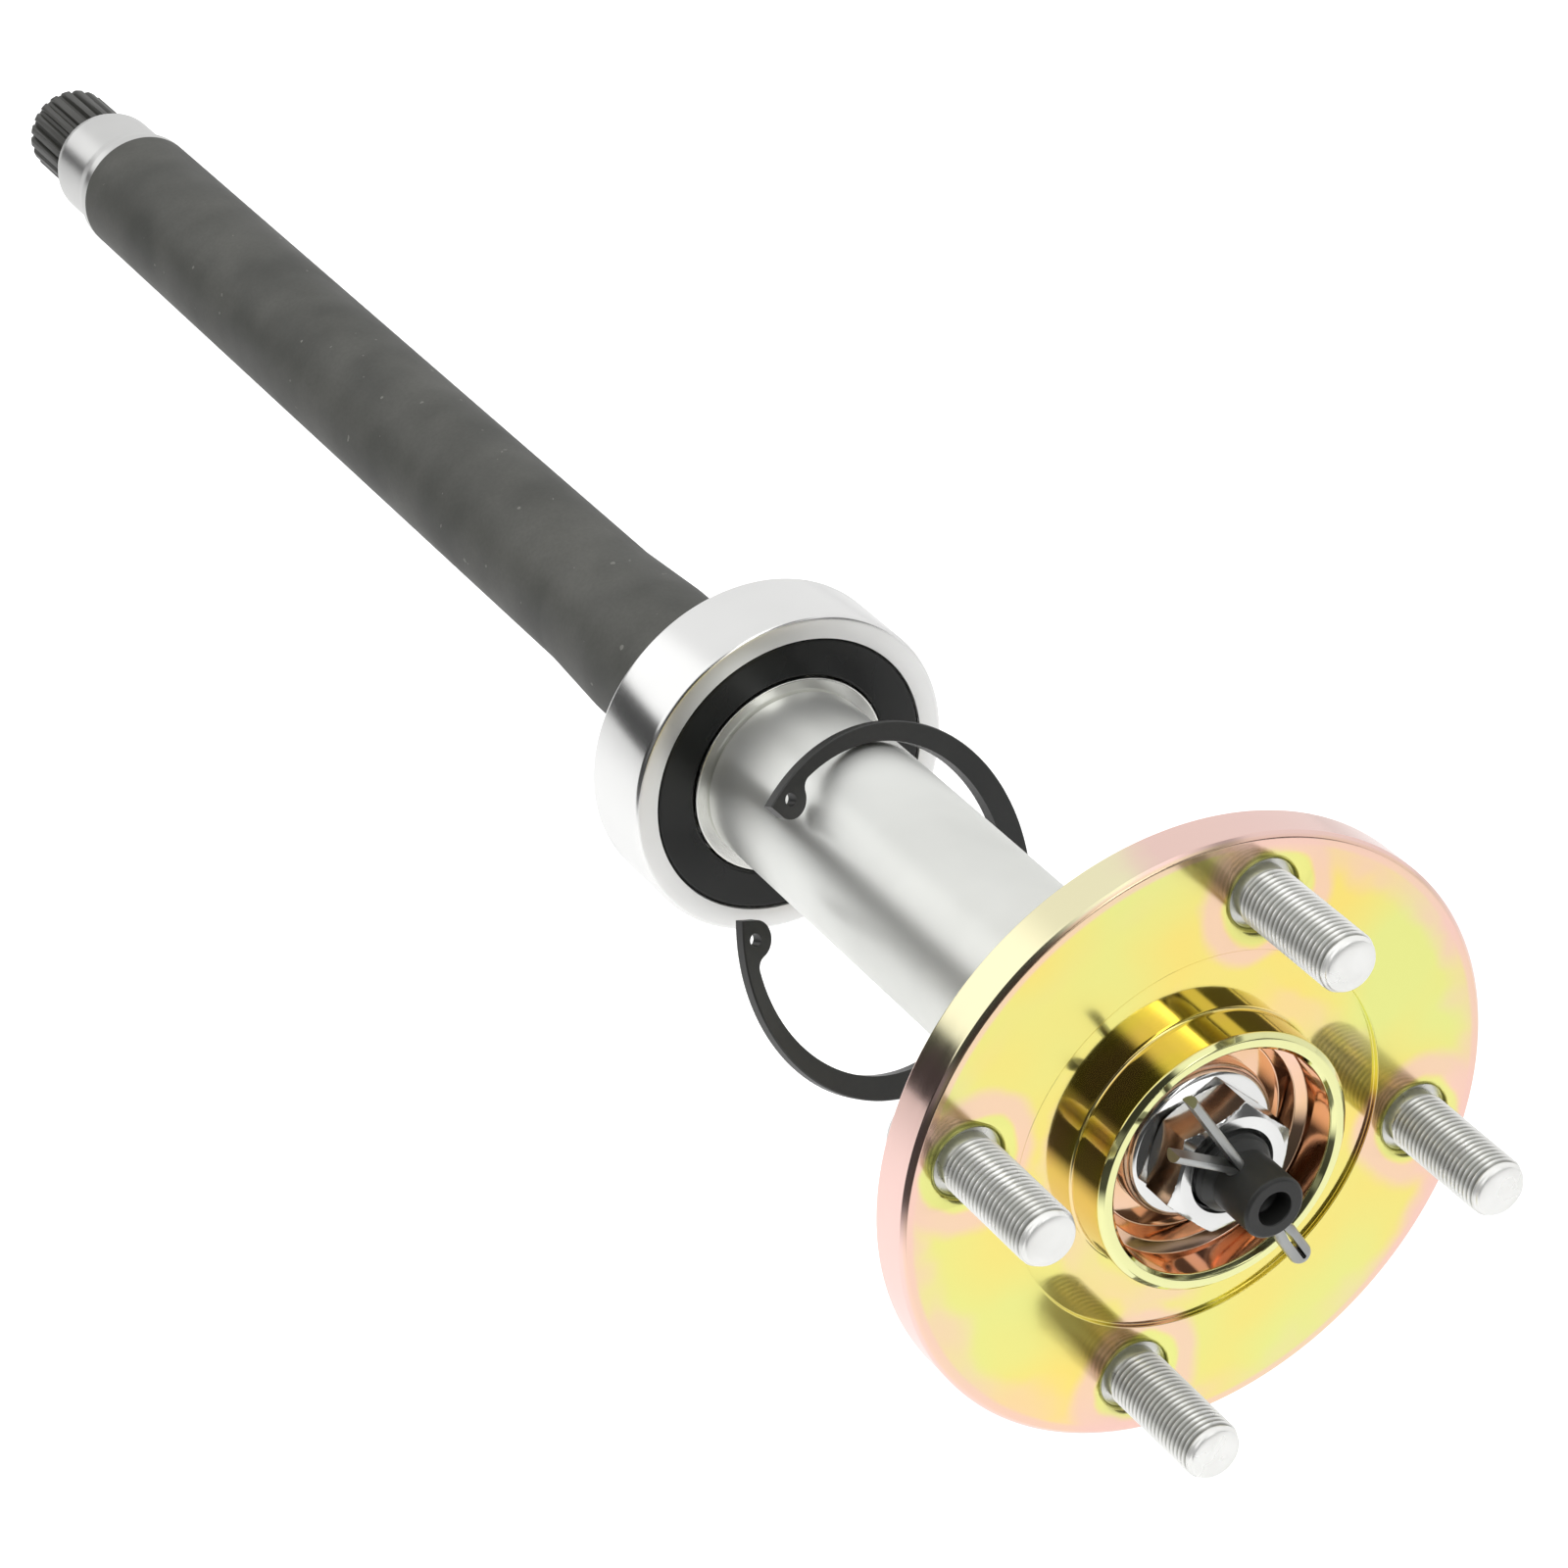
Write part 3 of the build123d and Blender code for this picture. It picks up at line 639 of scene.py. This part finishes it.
yellow_zinc, zinc_tree, zinc_shader = new_finish("yellow_zinc", 1.0, 0.12, brushed=0.3)
zinc_x, zinc_y, zinc_z = object_place(zinc_tree)
zinc_clouds = use_group(zinc_tree, cloud_group, Size=19.0, Contrast=4.0)
zinc_fine = use_group(zinc_tree, cloud_group, Size=55.0, Contrast=2.6)
wander = times_plus(zinc_fine["Cloud"], stud_wander, -stud_wander / 2)
from_axle = times(distance_from(zinc_x, zinc_z), 1 / MM)
from_middle = times_plus(wander, middle_wander, from_axle)
from_stud = math_node("ADD", nearest_stud(zinc_x, zinc_z), wander)
along_axle = times(zinc_y, 1 / MM)
# Painted light: the height towards the lamp's side, up and east, where the flange is painted lighter.
lit_side_height = times_plus(zinc_z, lit_side_up, times(zinc_x, lit_side_across))
towards_lit_side = times_plus(lit_side_height, 1 / MM, wander)
print("yellow zinc place nodes:", len(zinc_tree.nodes))

# %% [markdown]
# ## Films of the flange
# Each colour is laid over the last one by a mask, and a mask is a soft step or band of one of those
# distances. Rose and lavender lie towards the rim, round each stud and at the foot of the pilot, where
# clouds break them up. The last, a pale colour on the upper side of the wall, is painted light.
# %% Films of the flange
straw, pale_green, painted_light_pale = (0.89, 0.71, 0.19), (0.76, 0.78, 0.26), (0.88, 0.85, 0.54)
rose, lavender = (0.87, 0.57, 0.50), (0.88, 0.62, 0.57)
rim_fade, rim_line, rim_wall = (54, 62), (60.6, 61.6), (62.7, 63.2)
foot_band = (26, 29, 33, 38)
halo_band, halo_core = (8.5, 10.5, 12.5, 16), (10, 8.5)
lit_side_face_fade, lit_side_wall_fade = (60, 35), (56, 60.5)
least_film = 0.15


def lay_films(colour, films):
    """Lays films over a colour. Each has its mask, how much it covers at most, and its colour."""
    for mask, cover, film in films:
        colour = mix_colour(times(mask, cover), colour, film)
    return colour


# Painted light: on the upper side the rose is painted out of the face and the wall is painted pale.
broken = times_plus(zinc_clouds["Second Cloud"], 1 - least_film, least_film)
away_from_lit_side = times(broken, ramp(towards_lit_side, *lit_side_face_fade))
rim_mask = times(ramp(from_middle, *rim_fade), away_from_lit_side)
foot_mask = times(band(from_middle, *foot_band), zinc_clouds["Second Cloud"])
on_wall = ramp(from_axle, *rim_wall)
painted_light_wall = times(on_wall, ramp(towards_lit_side, *lit_side_wall_fade))
zinc_colour = lay_films(mix_colour(zinc_clouds["Cloud"], straw, pale_green), [
    (rim_mask, 0.95, rose),
    (ramp(from_axle, *rim_line), 0.7, rose),
    (foot_mask, 0.8, rose),
    (band(from_stud, *halo_band), 0.75, rose),
    (ramp(from_stud, *halo_core), 0.8, pale_green),
    (on_wall, 0.92, lavender),
    (painted_light_wall, 0.9, painted_light_pale),
])
print("flange film nodes:", len(zinc_tree.nodes))

# %% [markdown]
# ## Films of the pilot and the well
# The pilot's wall is a plain gold, its lip a pale green, and the well inside goes from copper to rose. The
# lathe marks blur the flange more than the pilot, which was turned finer and mirrors its surroundings.
# %% Films of the pilot and the well
copper, lip_green, wall_gold = (0.80, 0.50, 0.30), (0.80, 0.82, 0.42), (0.80, 0.68, 0.25)
off_recess, inside_pilot = (recess_floor + 0.3, recess_floor + 0.9), (27.6, 27.3)
onto_lip, below_lip = (pilot_face - 1.3, pilot_face - 0.6), (pilot_face - 0.9, pilot_face - 1.6)
inside_well, finer_turned = (24.2, 23.8), (39.5, 37)
least_blur, ring_blur, finer_by = 0.10, 0.08, -0.07

above_recess = ramp(along_axle, *off_recess)
on_pilot = times(above_recess, ramp(from_axle, *inside_pilot))
in_well = times(ramp(from_axle, *inside_well), ramp(along_axle, *below_lip))
well_film = mix_colour(zinc_fine["Second Cloud"], copper, rose)
zinc_colour = lay_films(zinc_colour, [
    (on_pilot, 1.0, wall_gold),
    (ramp(along_axle, *onto_lip), 0.9, lip_green),
    (in_well, 0.9, well_film),
])
zinc_marks = use_group(zinc_tree, marks_group, Fineness=500.0)
face_blur = times_plus(zinc_marks["Mark"], ring_blur, least_blur)
wall_blur = times_plus(ramp(from_axle, *finer_turned), finer_by, face_blur)
paint(zinc_shader, zinc_colour, wall_blur)
bump(zinc_shader, zinc_marks["Mark"], 0.0015 * MM)
print("yellow zinc nodes:", len(zinc_tree.nodes))

# %% [markdown]
# ## Clear zinc
# The studs are zinc plated and passivated clear, which is a softer silver. The roots of the thread get
# painted shade: the finish gets darker as a point comes closer to the stud's own middle line. Past the
# thread, the plain end gets no painted shade.
# %% Stud finish
root_painted_shade, dull_crest, bright_crest = (0.34, 0.34, 0.31), (0.80, 0.80, 0.77), (0.92, 0.92, 0.90)
crest_fade, end_fade = (5.45, 5.85), (186.6 * MM, 187.2 * MM)
stud_least_blur, stud_blur_swing = 0.24, 0.12

clear_zinc, stud_tree, stud_shader = new_finish("clear_zinc", 0.6, 0.30)
stud_x, stud_y, stud_z = object_place(stud_tree)
# Painted shade: the roots of the thread are darkened by their distance from the stud's middle line.
unshaded_crest = ramp(nearest_stud(stud_x, stud_z), *crest_fade)
unshaded = math_node("MAXIMUM", unshaded_crest, ramp(stud_y, *end_fade))
stud_clouds = use_group(stud_tree, cloud_group, Size=90.0, Contrast=2.4)
crest_colour = mix_colour(stud_clouds["Cloud"], dull_crest, bright_crest)
stud_blur = times_plus(stud_clouds["Second Cloud"], stud_blur_swing, stud_least_blur)
paint(stud_shader, mix_colour(unshaded, root_painted_shade, crest_colour), stud_blur)
print("clear zinc nodes:", len(stud_tree.nodes))

# %% [markdown]
# ## Seal rubber
# The seals are moulded rubber over a steel disc, black and smooth. Their shine is weak and follows the
# rings of the mould, so the metallic value stays at zero and the shader's own reflection is turned down.
# %% Seal finish
seal_black, seal_dusty = (0.006, 0.007, 0.007), (0.010, 0.010, 0.009)
seal_shine, seal_least_blur, seal_blur_swing = 0.32, 0.24, 0.10

seal_rubber, seal_tree, seal_shader = new_finish("seal_rubber", 0.0, 0.30, brushed=0.7)
seal_shader.inputs["Specular IOR Level"].default_value = seal_shine
seal_clouds = use_group(seal_tree, cloud_group, Size=60.0, Contrast=2.0)
seal_blur = times_plus(seal_clouds["Second Cloud"], seal_blur_swing, seal_least_blur)
paint(seal_shader, mix_colour(seal_clouds["Cloud"], seal_black, seal_dusty), seal_blur)
print("materials:", len(bpy.data.materials))

# %% [markdown]
# ## Bearing rings
# A sealed bearing shows its rings from this side: the ground face of the outer ring with its rounded
# corner, and the bright face of the inner ring. Inside, each has a groove for the balls. Its section is
# kept to a few points, because the seals hide it.
# %% Bearing rings
outer_radius, seal_radius, land_radius, seat_radius = 36.0, 30.9, 22.0, 15.0
recess_stop, corner = 7.6, 1.1
outer_shoulder, outer_groove, outer_groove_half = 29.2, 31.6, 5.0
inner_groove, inner_groove_half, groove_floor_half = 19.4, 5.2, 2.0
ring_angles, ring_rounding, race_rounding = 192, 0.12, 0.3

# The recess wall's rounding is cut short at both ends, where the arc and the groove go on.
rim_centre, end_centre = outer_radius - corner, bearing_half - corner
recess_outline = [(outer_shoulder, -recess_stop), (seal_radius, -recess_stop), (seal_radius, -bearing_half)]
outer_outline = soften(recess_outline, ring_rounding)[1:-1]
outer_outline += arc(rim_centre, -end_centre, corner, -90, 0) + arc(rim_centre, end_centre, corner, 0, 90)
outer_outline += [
    (seal_radius + 0.15, bearing_half), (seal_radius + 0.04, bearing_half - 0.04),
    (seal_radius, bearing_half - 0.15), (seal_radius, recess_stop), (outer_shoulder, recess_stop),
    (outer_shoulder, outer_groove_half), (outer_groove, groove_floor_half),
    (outer_groove, -groove_floor_half), (outer_shoulder, -outer_groove_half),
]
outer_ring = spin("outer_ring", outer_outline, ring_angles)
fit(outer_ring, "bearing_outer", "bearing_outer_ring", "bearing_steel", ground_steel)

inner_outline = [
    (seat_radius, corner - bearing_half), (seat_radius + corner, -bearing_half),
    (land_radius, -bearing_half), (land_radius, -inner_groove_half), (inner_groove, -groove_floor_half),
    (inner_groove, groove_floor_half), (land_radius, inner_groove_half), (land_radius, bearing_half),
    (seat_radius + corner, bearing_half), (seat_radius, bearing_half - corner),
]
inner_ring = spin("inner_ring", soften(inner_outline, race_rounding), ring_angles)
fit(inner_ring, "axle", "bearing_inner_ring", "bearing_steel", race_steel)

# %% [markdown]
# ## Bearing seals
# Each seal is a flat disc with a moulded edge that snaps into the outer ring, and a lip that stops just
# short of the inner one. The second seal is the first one mirrored. The balls and the cage keep their own
# solids, because nothing finer would show.
# %% Bearing seals
seal_face, lip_radius, ball_count = 9.25, 22.35, 8
for side, node in ((1, "seal_outboard"), (-1, "seal_inboard")):
    seal_outline = [
        (lip_radius, side * 8.05), (seal_radius, side * recess_stop), (seal_radius, side * 8.6),
        (30.5, side * 8.8), (30.4, side * (seal_face - 0.1)), (30.0, side * seal_face),
        (22.9, side * seal_face), (lip_radius, side * 8.85),
    ]
    seal = spin(f"{node}_rubber", soften(seal_outline, ring_rounding), ring_angles)
    fit(seal, "bearing_outer", node, "seal_rubber", seal_rubber)
for number in range(1, ball_count + 1):
    dress(f"ball_{number}", ball_steel)
for node in ("cage_half_inboard", "cage_half_outboard", "cage_rivets"):
    dress(node, pressed_steel)

# %% [markdown]
# ## Spacer sleeve
# The sleeve is one turned and plated tube. Its ends are chamfered so that they don't burr in assembly.
# %% Sleeve
hub_start, sleeve_radius, sleeve_bore, sleeve_chamfer = 121.5, 19.35, 15.1, 0.6
sleeve_outline = [
    (sleeve_bore, bearing_half), (sleeve_radius - sleeve_chamfer, bearing_half),
    (sleeve_radius, bearing_half + sleeve_chamfer), (sleeve_radius, hub_start - sleeve_chamfer),
    (sleeve_radius - sleeve_chamfer, hub_start), (sleeve_bore, hub_start),
]
sleeve = spin("sleeve", soften(sleeve_outline, 0.2), angles=192)
fit(sleeve, "axle", "spacer_sleeve", "satin_steel", sleeve_steel)

# %% [markdown]
# ## Half shaft
# The shaft is forged and turned from one bar: spline teeth, a bright ground journal, a dark body that
# swells to the bearing, and at the wheel end a thread with a drilled nose. Each stretch is a swept outline
# of its own, so that it can have its own finish. The spline comes first. A function presses its teeth into
# the rings as they go round, and the angles hit the corner of every tooth, so that few of them are needed.
# %% Spline
spline_teeth, spline_first = 20, 14.7
spline_pitch = 360 / spline_teeth
tip_half, base_half = 4.2, 6.6
spline_tip, spline_root = 11.2, 10.0
inboard_end, journal_end = -365.5, -343.75
centre_radius, centre_depth = 3, 4


def spline_angles():
    """Angles that hit the corners of every tooth of the spline, with one more point on each flank."""
    middle_half = (tip_half + base_half) / 2
    inside = [-spline_pitch / 2, -base_half, -middle_half, -tip_half, 0, tip_half, middle_half, base_half]
    middles = [spline_first + tooth * spline_pitch for tooth in range(spline_teeth)]
    return sorted(math.radians((middle + step) % 360) for middle in middles for step in inside)


def spline_radius(radius, place, turn):
    """Drops the ring to the root between teeth, and leaves smaller rings alone."""
    offset = abs((math.degrees(turn) - spline_first + spline_pitch / 2) % spline_pitch - spline_pitch / 2)
    share = min(1.0, max(0.0, (base_half - offset) / (base_half - tip_half)))
    rounded = share * share * (3 - 2 * share)
    return min(radius, spline_root + (spline_tip - spline_root) * rounded)


spline_outline = [
    (0, inboard_end + centre_depth), (centre_radius, inboard_end), (spline_tip - 1.2, inboard_end),
    (spline_tip - 0.5, inboard_end + 0.4), (spline_tip, inboard_end + 1.4), (spline_tip, journal_end + 0.5),
    (0, journal_end + 0.5),
]
spline_end = spin("spline_end", spline_outline, spline_angles(), spline_radius, sharp=60)
fit(spline_end, "axle", "axle_shaft", "dark_steel", spline_coat)

# %% [markdown]
# ## Journal and body
# The journal is ground bright, and the bright surface runs on over the shoulder until the dark coat starts.
# The two pieces meet there in a square joint, which doesn't show, because they have the same radius. The
# body swells in a cone to the collar that the bearing is pressed against, and runs on thinner under the
# sleeve and the hub.
# %% Journal and body
journal_stop, journal_start, body_end, coat_start = -340.5, -326.5, -322.0, -319.5
taper_end, collar_end, thread_start = -72.5, -50.5, 156.0
journal_foot, journal_radius, body_radius, collar_radius, hub_seat = 12.4, 13.7, 15.25, 16.5, 12.8

journal_outline = [
    (0, journal_end), (journal_foot, journal_end), (journal_radius, journal_stop),
    (journal_radius, journal_start), (body_radius, body_end), (body_radius, coat_start), (0, coat_start),
]
journal = spin("journal", soften(journal_outline, 0.6, 4, square=5), angles=160)
fit(journal, "axle", "axle_shaft", "dark_steel", journal_steel)

body_outline = [
    (0, coat_start), (body_radius, coat_start), (body_radius, taper_end), (collar_radius, collar_end),
    (collar_radius, -bearing_half - 0.3), (collar_radius - 0.3, -bearing_half),
    (seat_radius, -bearing_half), (seat_radius, hub_start), (hub_seat, hub_start),
    (hub_seat, thread_start), (0, thread_start),
]
shaft_body = spin("shaft_body", soften(body_outline, 1.0, 5, square=1), angles=160)
fit(shaft_body, "axle", "axle_shaft", "dark_steel", shaft_coat)

# %% [markdown]
# ## Threaded nose
# A thread is real here, not a bump: the rings of the outline stand close together, and each point moves in
# and out with its place along the thread and its turn round it. Past the thread, the nose is plain, with a
# drilled end.
# %% Threaded nose
nut_top, nose_end = 172.0, 185.7
thread_radius, nose_radius, nose_pitch, nose_depth = 7.95, 6.35, 1.5, 0.85
nose_ring_step, nose_ring_stretch, first_turn, last_turn = 0.18, 17.2, 157.0, 173.2
threaded_from, nose_hole_radius, nose_hole_depth, nose_hole_point = 7.0, 3.5, 4.5, 6.5
flank_slope, crest_width = 1.3, 0.12
thread_core, run_out, cone_end, plain_start = 6.5, 173.3, 174.4, 175.0


def thread_cut(major, pitch, depth, turn, place):
    """The radius of a rounded thread at an angle and a place along it."""
    phase = (place / pitch - turn / math.tau) % 1.0
    wave = abs(2 * phase - 1)
    shaped = min(1.0, max(0.0, wave * flank_slope - crest_width))
    return major - depth * shaped


def nose_thread(radius, place, turn):
    """Presses the thread into the threaded stretch of the nose."""
    if radius < threaded_from or not first_turn < place < last_turn:
        return radius
    return min(radius, thread_cut(thread_radius, nose_pitch, nose_depth, turn, place))


nose_steps = range(int(nose_ring_stretch / nose_ring_step))
nose_outline = [(0, thread_start), (thread_core, thread_start)]
nose_outline += [(thread_radius, thread_start + step * nose_ring_step) for step in nose_steps]
nose_outline += [(thread_radius - 0.5, run_out), (nose_radius + 0.3, cone_end)]
nose_outline += soften([
    (nose_radius, plain_start), (nose_radius, nose_end - 0.5), (nose_radius - 0.5, nose_end),
    (nose_hole_radius, nose_end), (nose_hole_radius, nose_end - nose_hole_depth),
    (0, nose_end - nose_hole_point),
], 0.25)[1:]
nose = spin("nose", nose_outline, 72, nose_thread, sharp=60)
fit(nose, "axle", "axle_shaft", "dark_steel", nose_coat)

# %% [markdown]
# ## Hub
# The hub was forged, turned all over, drilled for its studs and then plated. The turned form is one swept
# outline, with true arcs for its two fillets. Where an arc takes over, the rounding of the stretch beside
# it is cut short.
# %% Hub outline
rim_radius, rim_chamfer, recess_radius = 63.5, 1, 39.7
boss_radius, boss_fillet, pilot_radius, pilot_fillet = 24.0, 3.0, 27.1, 0.6
lip_outer, lip_inner, lip_bevel, hub_bore, hub_rounding = 26.1, 24.5, 0.9, 14.1, 0.18
well_radius, well_step, well_foot = 23.6, 21.5, 20.2
well_wall_stop, well_step_height = 4.5, 3.3

hub_outline = soften([
    (rim_radius - rim_chamfer, flange_back), (rim_radius, flange_back + rim_chamfer),
    (rim_radius, flange_face - rim_chamfer), (rim_radius - rim_chamfer, flange_face),
    (recess_radius, flange_face), (recess_radius, recess_floor), (pilot_radius + pilot_fillet, recess_floor),
], hub_rounding)[:-3]
hub_outline += arc(pilot_radius + pilot_fillet, recess_floor + pilot_fillet, pilot_fillet, 270, 180)
hub_outline += soften([
    (pilot_radius, recess_floor + 1), (pilot_radius, pilot_face - 1), (lip_outer, pilot_face),
    (lip_inner, pilot_face), (well_radius, pilot_face - lip_bevel),
    (well_radius, well_floor + well_wall_stop), (well_step, well_floor + well_step_height),
    (well_foot, well_floor), (hub_bore, well_floor), (hub_bore, hub_start), (boss_radius, hub_start),
    (boss_radius, flange_back - boss_fillet),
], hub_rounding)[4:-5]
hub_outline += arc(boss_radius + boss_fillet, flange_back - boss_fillet, boss_fillet, 180, 90)
hub = spin("hub_plated", hub_outline, angles=288)
print("hub outline points:", len(hub_outline))

# %% [markdown]
# ## Stud holes
# The four holes have the soft mouths that pressing the studs leaves. They are cut out with a Boolean
# modifier, which is applied, so that the piece stays a plain mesh. One cutter of four joined drills needs
# only one cut.
# %% Stud holes
stud_count, hole_radius, mouth_radius = 4, 7.0, 8.3
drill_outline = [
    (0, flange_back - 1), (hole_radius, flange_back - 1), (hole_radius, flange_face - 1.3),
    (7.15, flange_face - 0.8), (7.5, flange_face - 0.4), (7.95, flange_face - 0.15),
    (mouth_radius, flange_face), (8.7, flange_face + 0.3), (0, flange_face + 0.3),
]


def merged(name, pieces):
    """Joins several pieces into one and returns it."""
    maker = bmesh.new()
    for piece in pieces:
        piece.data.transform(piece.matrix_world)
        maker.from_mesh(piece.data)
    for piece in pieces:
        bpy.data.objects.remove(piece)
    return made_object(name, maker)


stud_places, drills = [], []
for number in range(stud_count):
    turn = math.radians(stud_first + number * 360 / stud_count)
    stud_places.append(Vector((stud_circle * math.cos(turn), 0, stud_circle * math.sin(turn))) * MM)
    drills.append(spin("drill", drill_outline, angles=64))
    drills[-1].location = stud_places[-1]
bpy.context.view_layer.update()
cutter = merged("stud_holes", drills)
cut = hub.modifiers.new("stud_holes", "BOOLEAN")
cut.object = cutter
cut.operation = "DIFFERENCE"
cut.solver = "EXACT"
bpy.context.view_layer.update()
drilled = bpy.data.meshes.new_from_object(hub.evaluated_get(bpy.context.evaluated_depsgraph_get()))
hub.modifiers.clear()
hub.data = drilled
smoothed(hub, sharp=35)
bpy.data.objects.remove(cutter)
fit(hub, "axle", "hub", "yellow_zinc", yellow_zinc)

# %% [markdown]
# ## Wheel studs
# Each stud has a head behind the flange, a knurled stretch that is pressed into its hole, a fine 12 mm
# thread over its whole free length and a chamfered end. The thread is made as on the nose. The head and the
# knurled stretch stay plain, because the flange hides them.
# %% Studs
stud_end, stud_radius, stud_pitch, stud_depth = 188.1, 6.0, 1.25, 0.70
head_start, head_radius, head_chamfer, neck_radius, knurl_end = 146.5, 9.5, 1.0, 5.65, 158.8
chamfer_length, chamfer_drop = 1.6, 0.9
first_ring, last_ring, ring_step = flange_face + 0.3, stud_end - 0.12, stud_pitch / 8


def stud_thread(radius, place, turn):
    """Presses the fine thread into the free length of a stud, and turns down its end."""
    if place <= flange_face + 0.1 or radius < stud_radius - 0.01:
        return radius
    turned_down = stud_radius - chamfer_drop * max(0.0, place - stud_end + chamfer_length) / chamfer_length
    return min(turned_down, thread_cut(stud_radius, stud_pitch, stud_depth, turn, place))


stud_outline = [
    (0, head_start), (head_radius - head_chamfer, head_start), (head_radius, head_start + head_chamfer),
    (head_radius, flange_back), (hole_radius, flange_back), (hole_radius, knurl_end),
    (neck_radius, knurl_end), (neck_radius, flange_face + 0.05),
]
stud_steps = range(int((last_ring - first_ring) / ring_step))
stud_outline += [(stud_radius, first_ring + step * ring_step) for step in stud_steps]
stud_outline += [(5.1, stud_end - 0.08), (4.95, stud_end), (3.2, stud_end), (0, stud_end - 0.12)]
for number, place in enumerate(stud_places, start=1):
    stud = spin(f"stud_{number}", stud_outline, 48, stud_thread, sharp=55)
    stud.data.transform(Matrix.Translation(place))
    fit(stud, "axle", f"wheel_stud_{number}", "stud_zinc", clear_zinc)

# %% [markdown]
# ## Washer
# The washer sits on the floor of the well, and its outer edge is rolled over in a quarter of an ellipse.
# %% Washer
washer_bore, washer_edge, washer_bevel, washer_rise = 8.3, 16.1, 0.3, 2.0
roll_across, roll_up, roll_steps = 1.8, 3.1, 12
roll_centre, washer_top = washer_edge - roll_across, well_floor + washer_rise + roll_up

washer_outline = [
    (washer_bore, well_floor), (washer_edge - washer_bevel, well_floor),
    (washer_edge, well_floor + washer_bevel), (washer_edge, well_floor + washer_rise),
]
for step in range(1, roll_steps + 1):
    turn = math.radians(step * 90 / roll_steps)
    across, along = roll_across * math.cos(turn), roll_up * math.sin(turn)
    washer_outline.append((roll_centre + across, well_floor + washer_rise + along))
washer_outline.append((washer_bore, washer_top))
washer = spin("washer", washer_outline, angles=144)
fit(washer, "axle", "hub_washer", "bright_zinc", bright_zinc)

# %% [markdown]
# ## Nut and cotter pin
# The nut is a plain hexagon with its corners turned down at both ends, which gives the curved edges seen on
# every nut. A function of the angle makes both: the smaller of the hexagon and the turned cone wins at each
# point. The cotter pin and the snap ring keep their own solids, which are already true to shape.
# %% Nut
nut_bore, nut_mouth, nut_flat, nut_first, corner_cut = 8.0, 8.9, 11.9, 43.0, 2.4
mouth_depth, face_loops, chamfer_steps, nut_angles = 0.9, (11.2, 11.0, 9.1), 10, 180
nut_base = washer_top
nut_corner = nut_flat / math.cos(math.radians(30))
corner_drop = corner_cut * math.tan(math.radians(30))


def nut_radius(radius, place, turn):
    """A hexagon whose corners are turned down to the ring's own radius."""
    if radius < nut_flat - 1:
        return radius
    offset = (math.degrees(turn) - nut_first) % 60 - 30
    return min(radius, nut_flat / math.cos(math.radians(offset)))


rising = []
for step in range(chamfer_steps + 1):
    turned_radius = nut_corner - corner_cut * (1 - step / chamfer_steps)
    rising.append((turned_radius, corner_drop * step / chamfer_steps))
nut_outline = [(nut_bore, nut_base + mouth_depth), (nut_mouth, nut_base)]
nut_outline += [(radius, nut_base + rise) for radius, rise in rising]
nut_outline += [(radius, nut_top - rise) for radius, rise in reversed(rising)]
nut_outline += [(radius, nut_top) for radius in face_loops]
nut_outline += [(nut_mouth, nut_top - 0.05), (nut_bore, nut_top - mouth_depth)]
nut_turns = [math.radians(nut_first + step * 360 / nut_angles) for step in range(nut_angles)]
nut = spin("nut", nut_outline, nut_turns, nut_radius, sharp=20)
fit(nut, "axle", "axle_nut", "bright_zinc", bright_zinc)
dress("cotter_pin", grey_zinc)
dress("snap_ring", ring_coat)

# %% [markdown]
# ## Finish
# The number of solids that the frame holds is printed.
# %% Finish
print("pieces for nodes:", len(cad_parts))
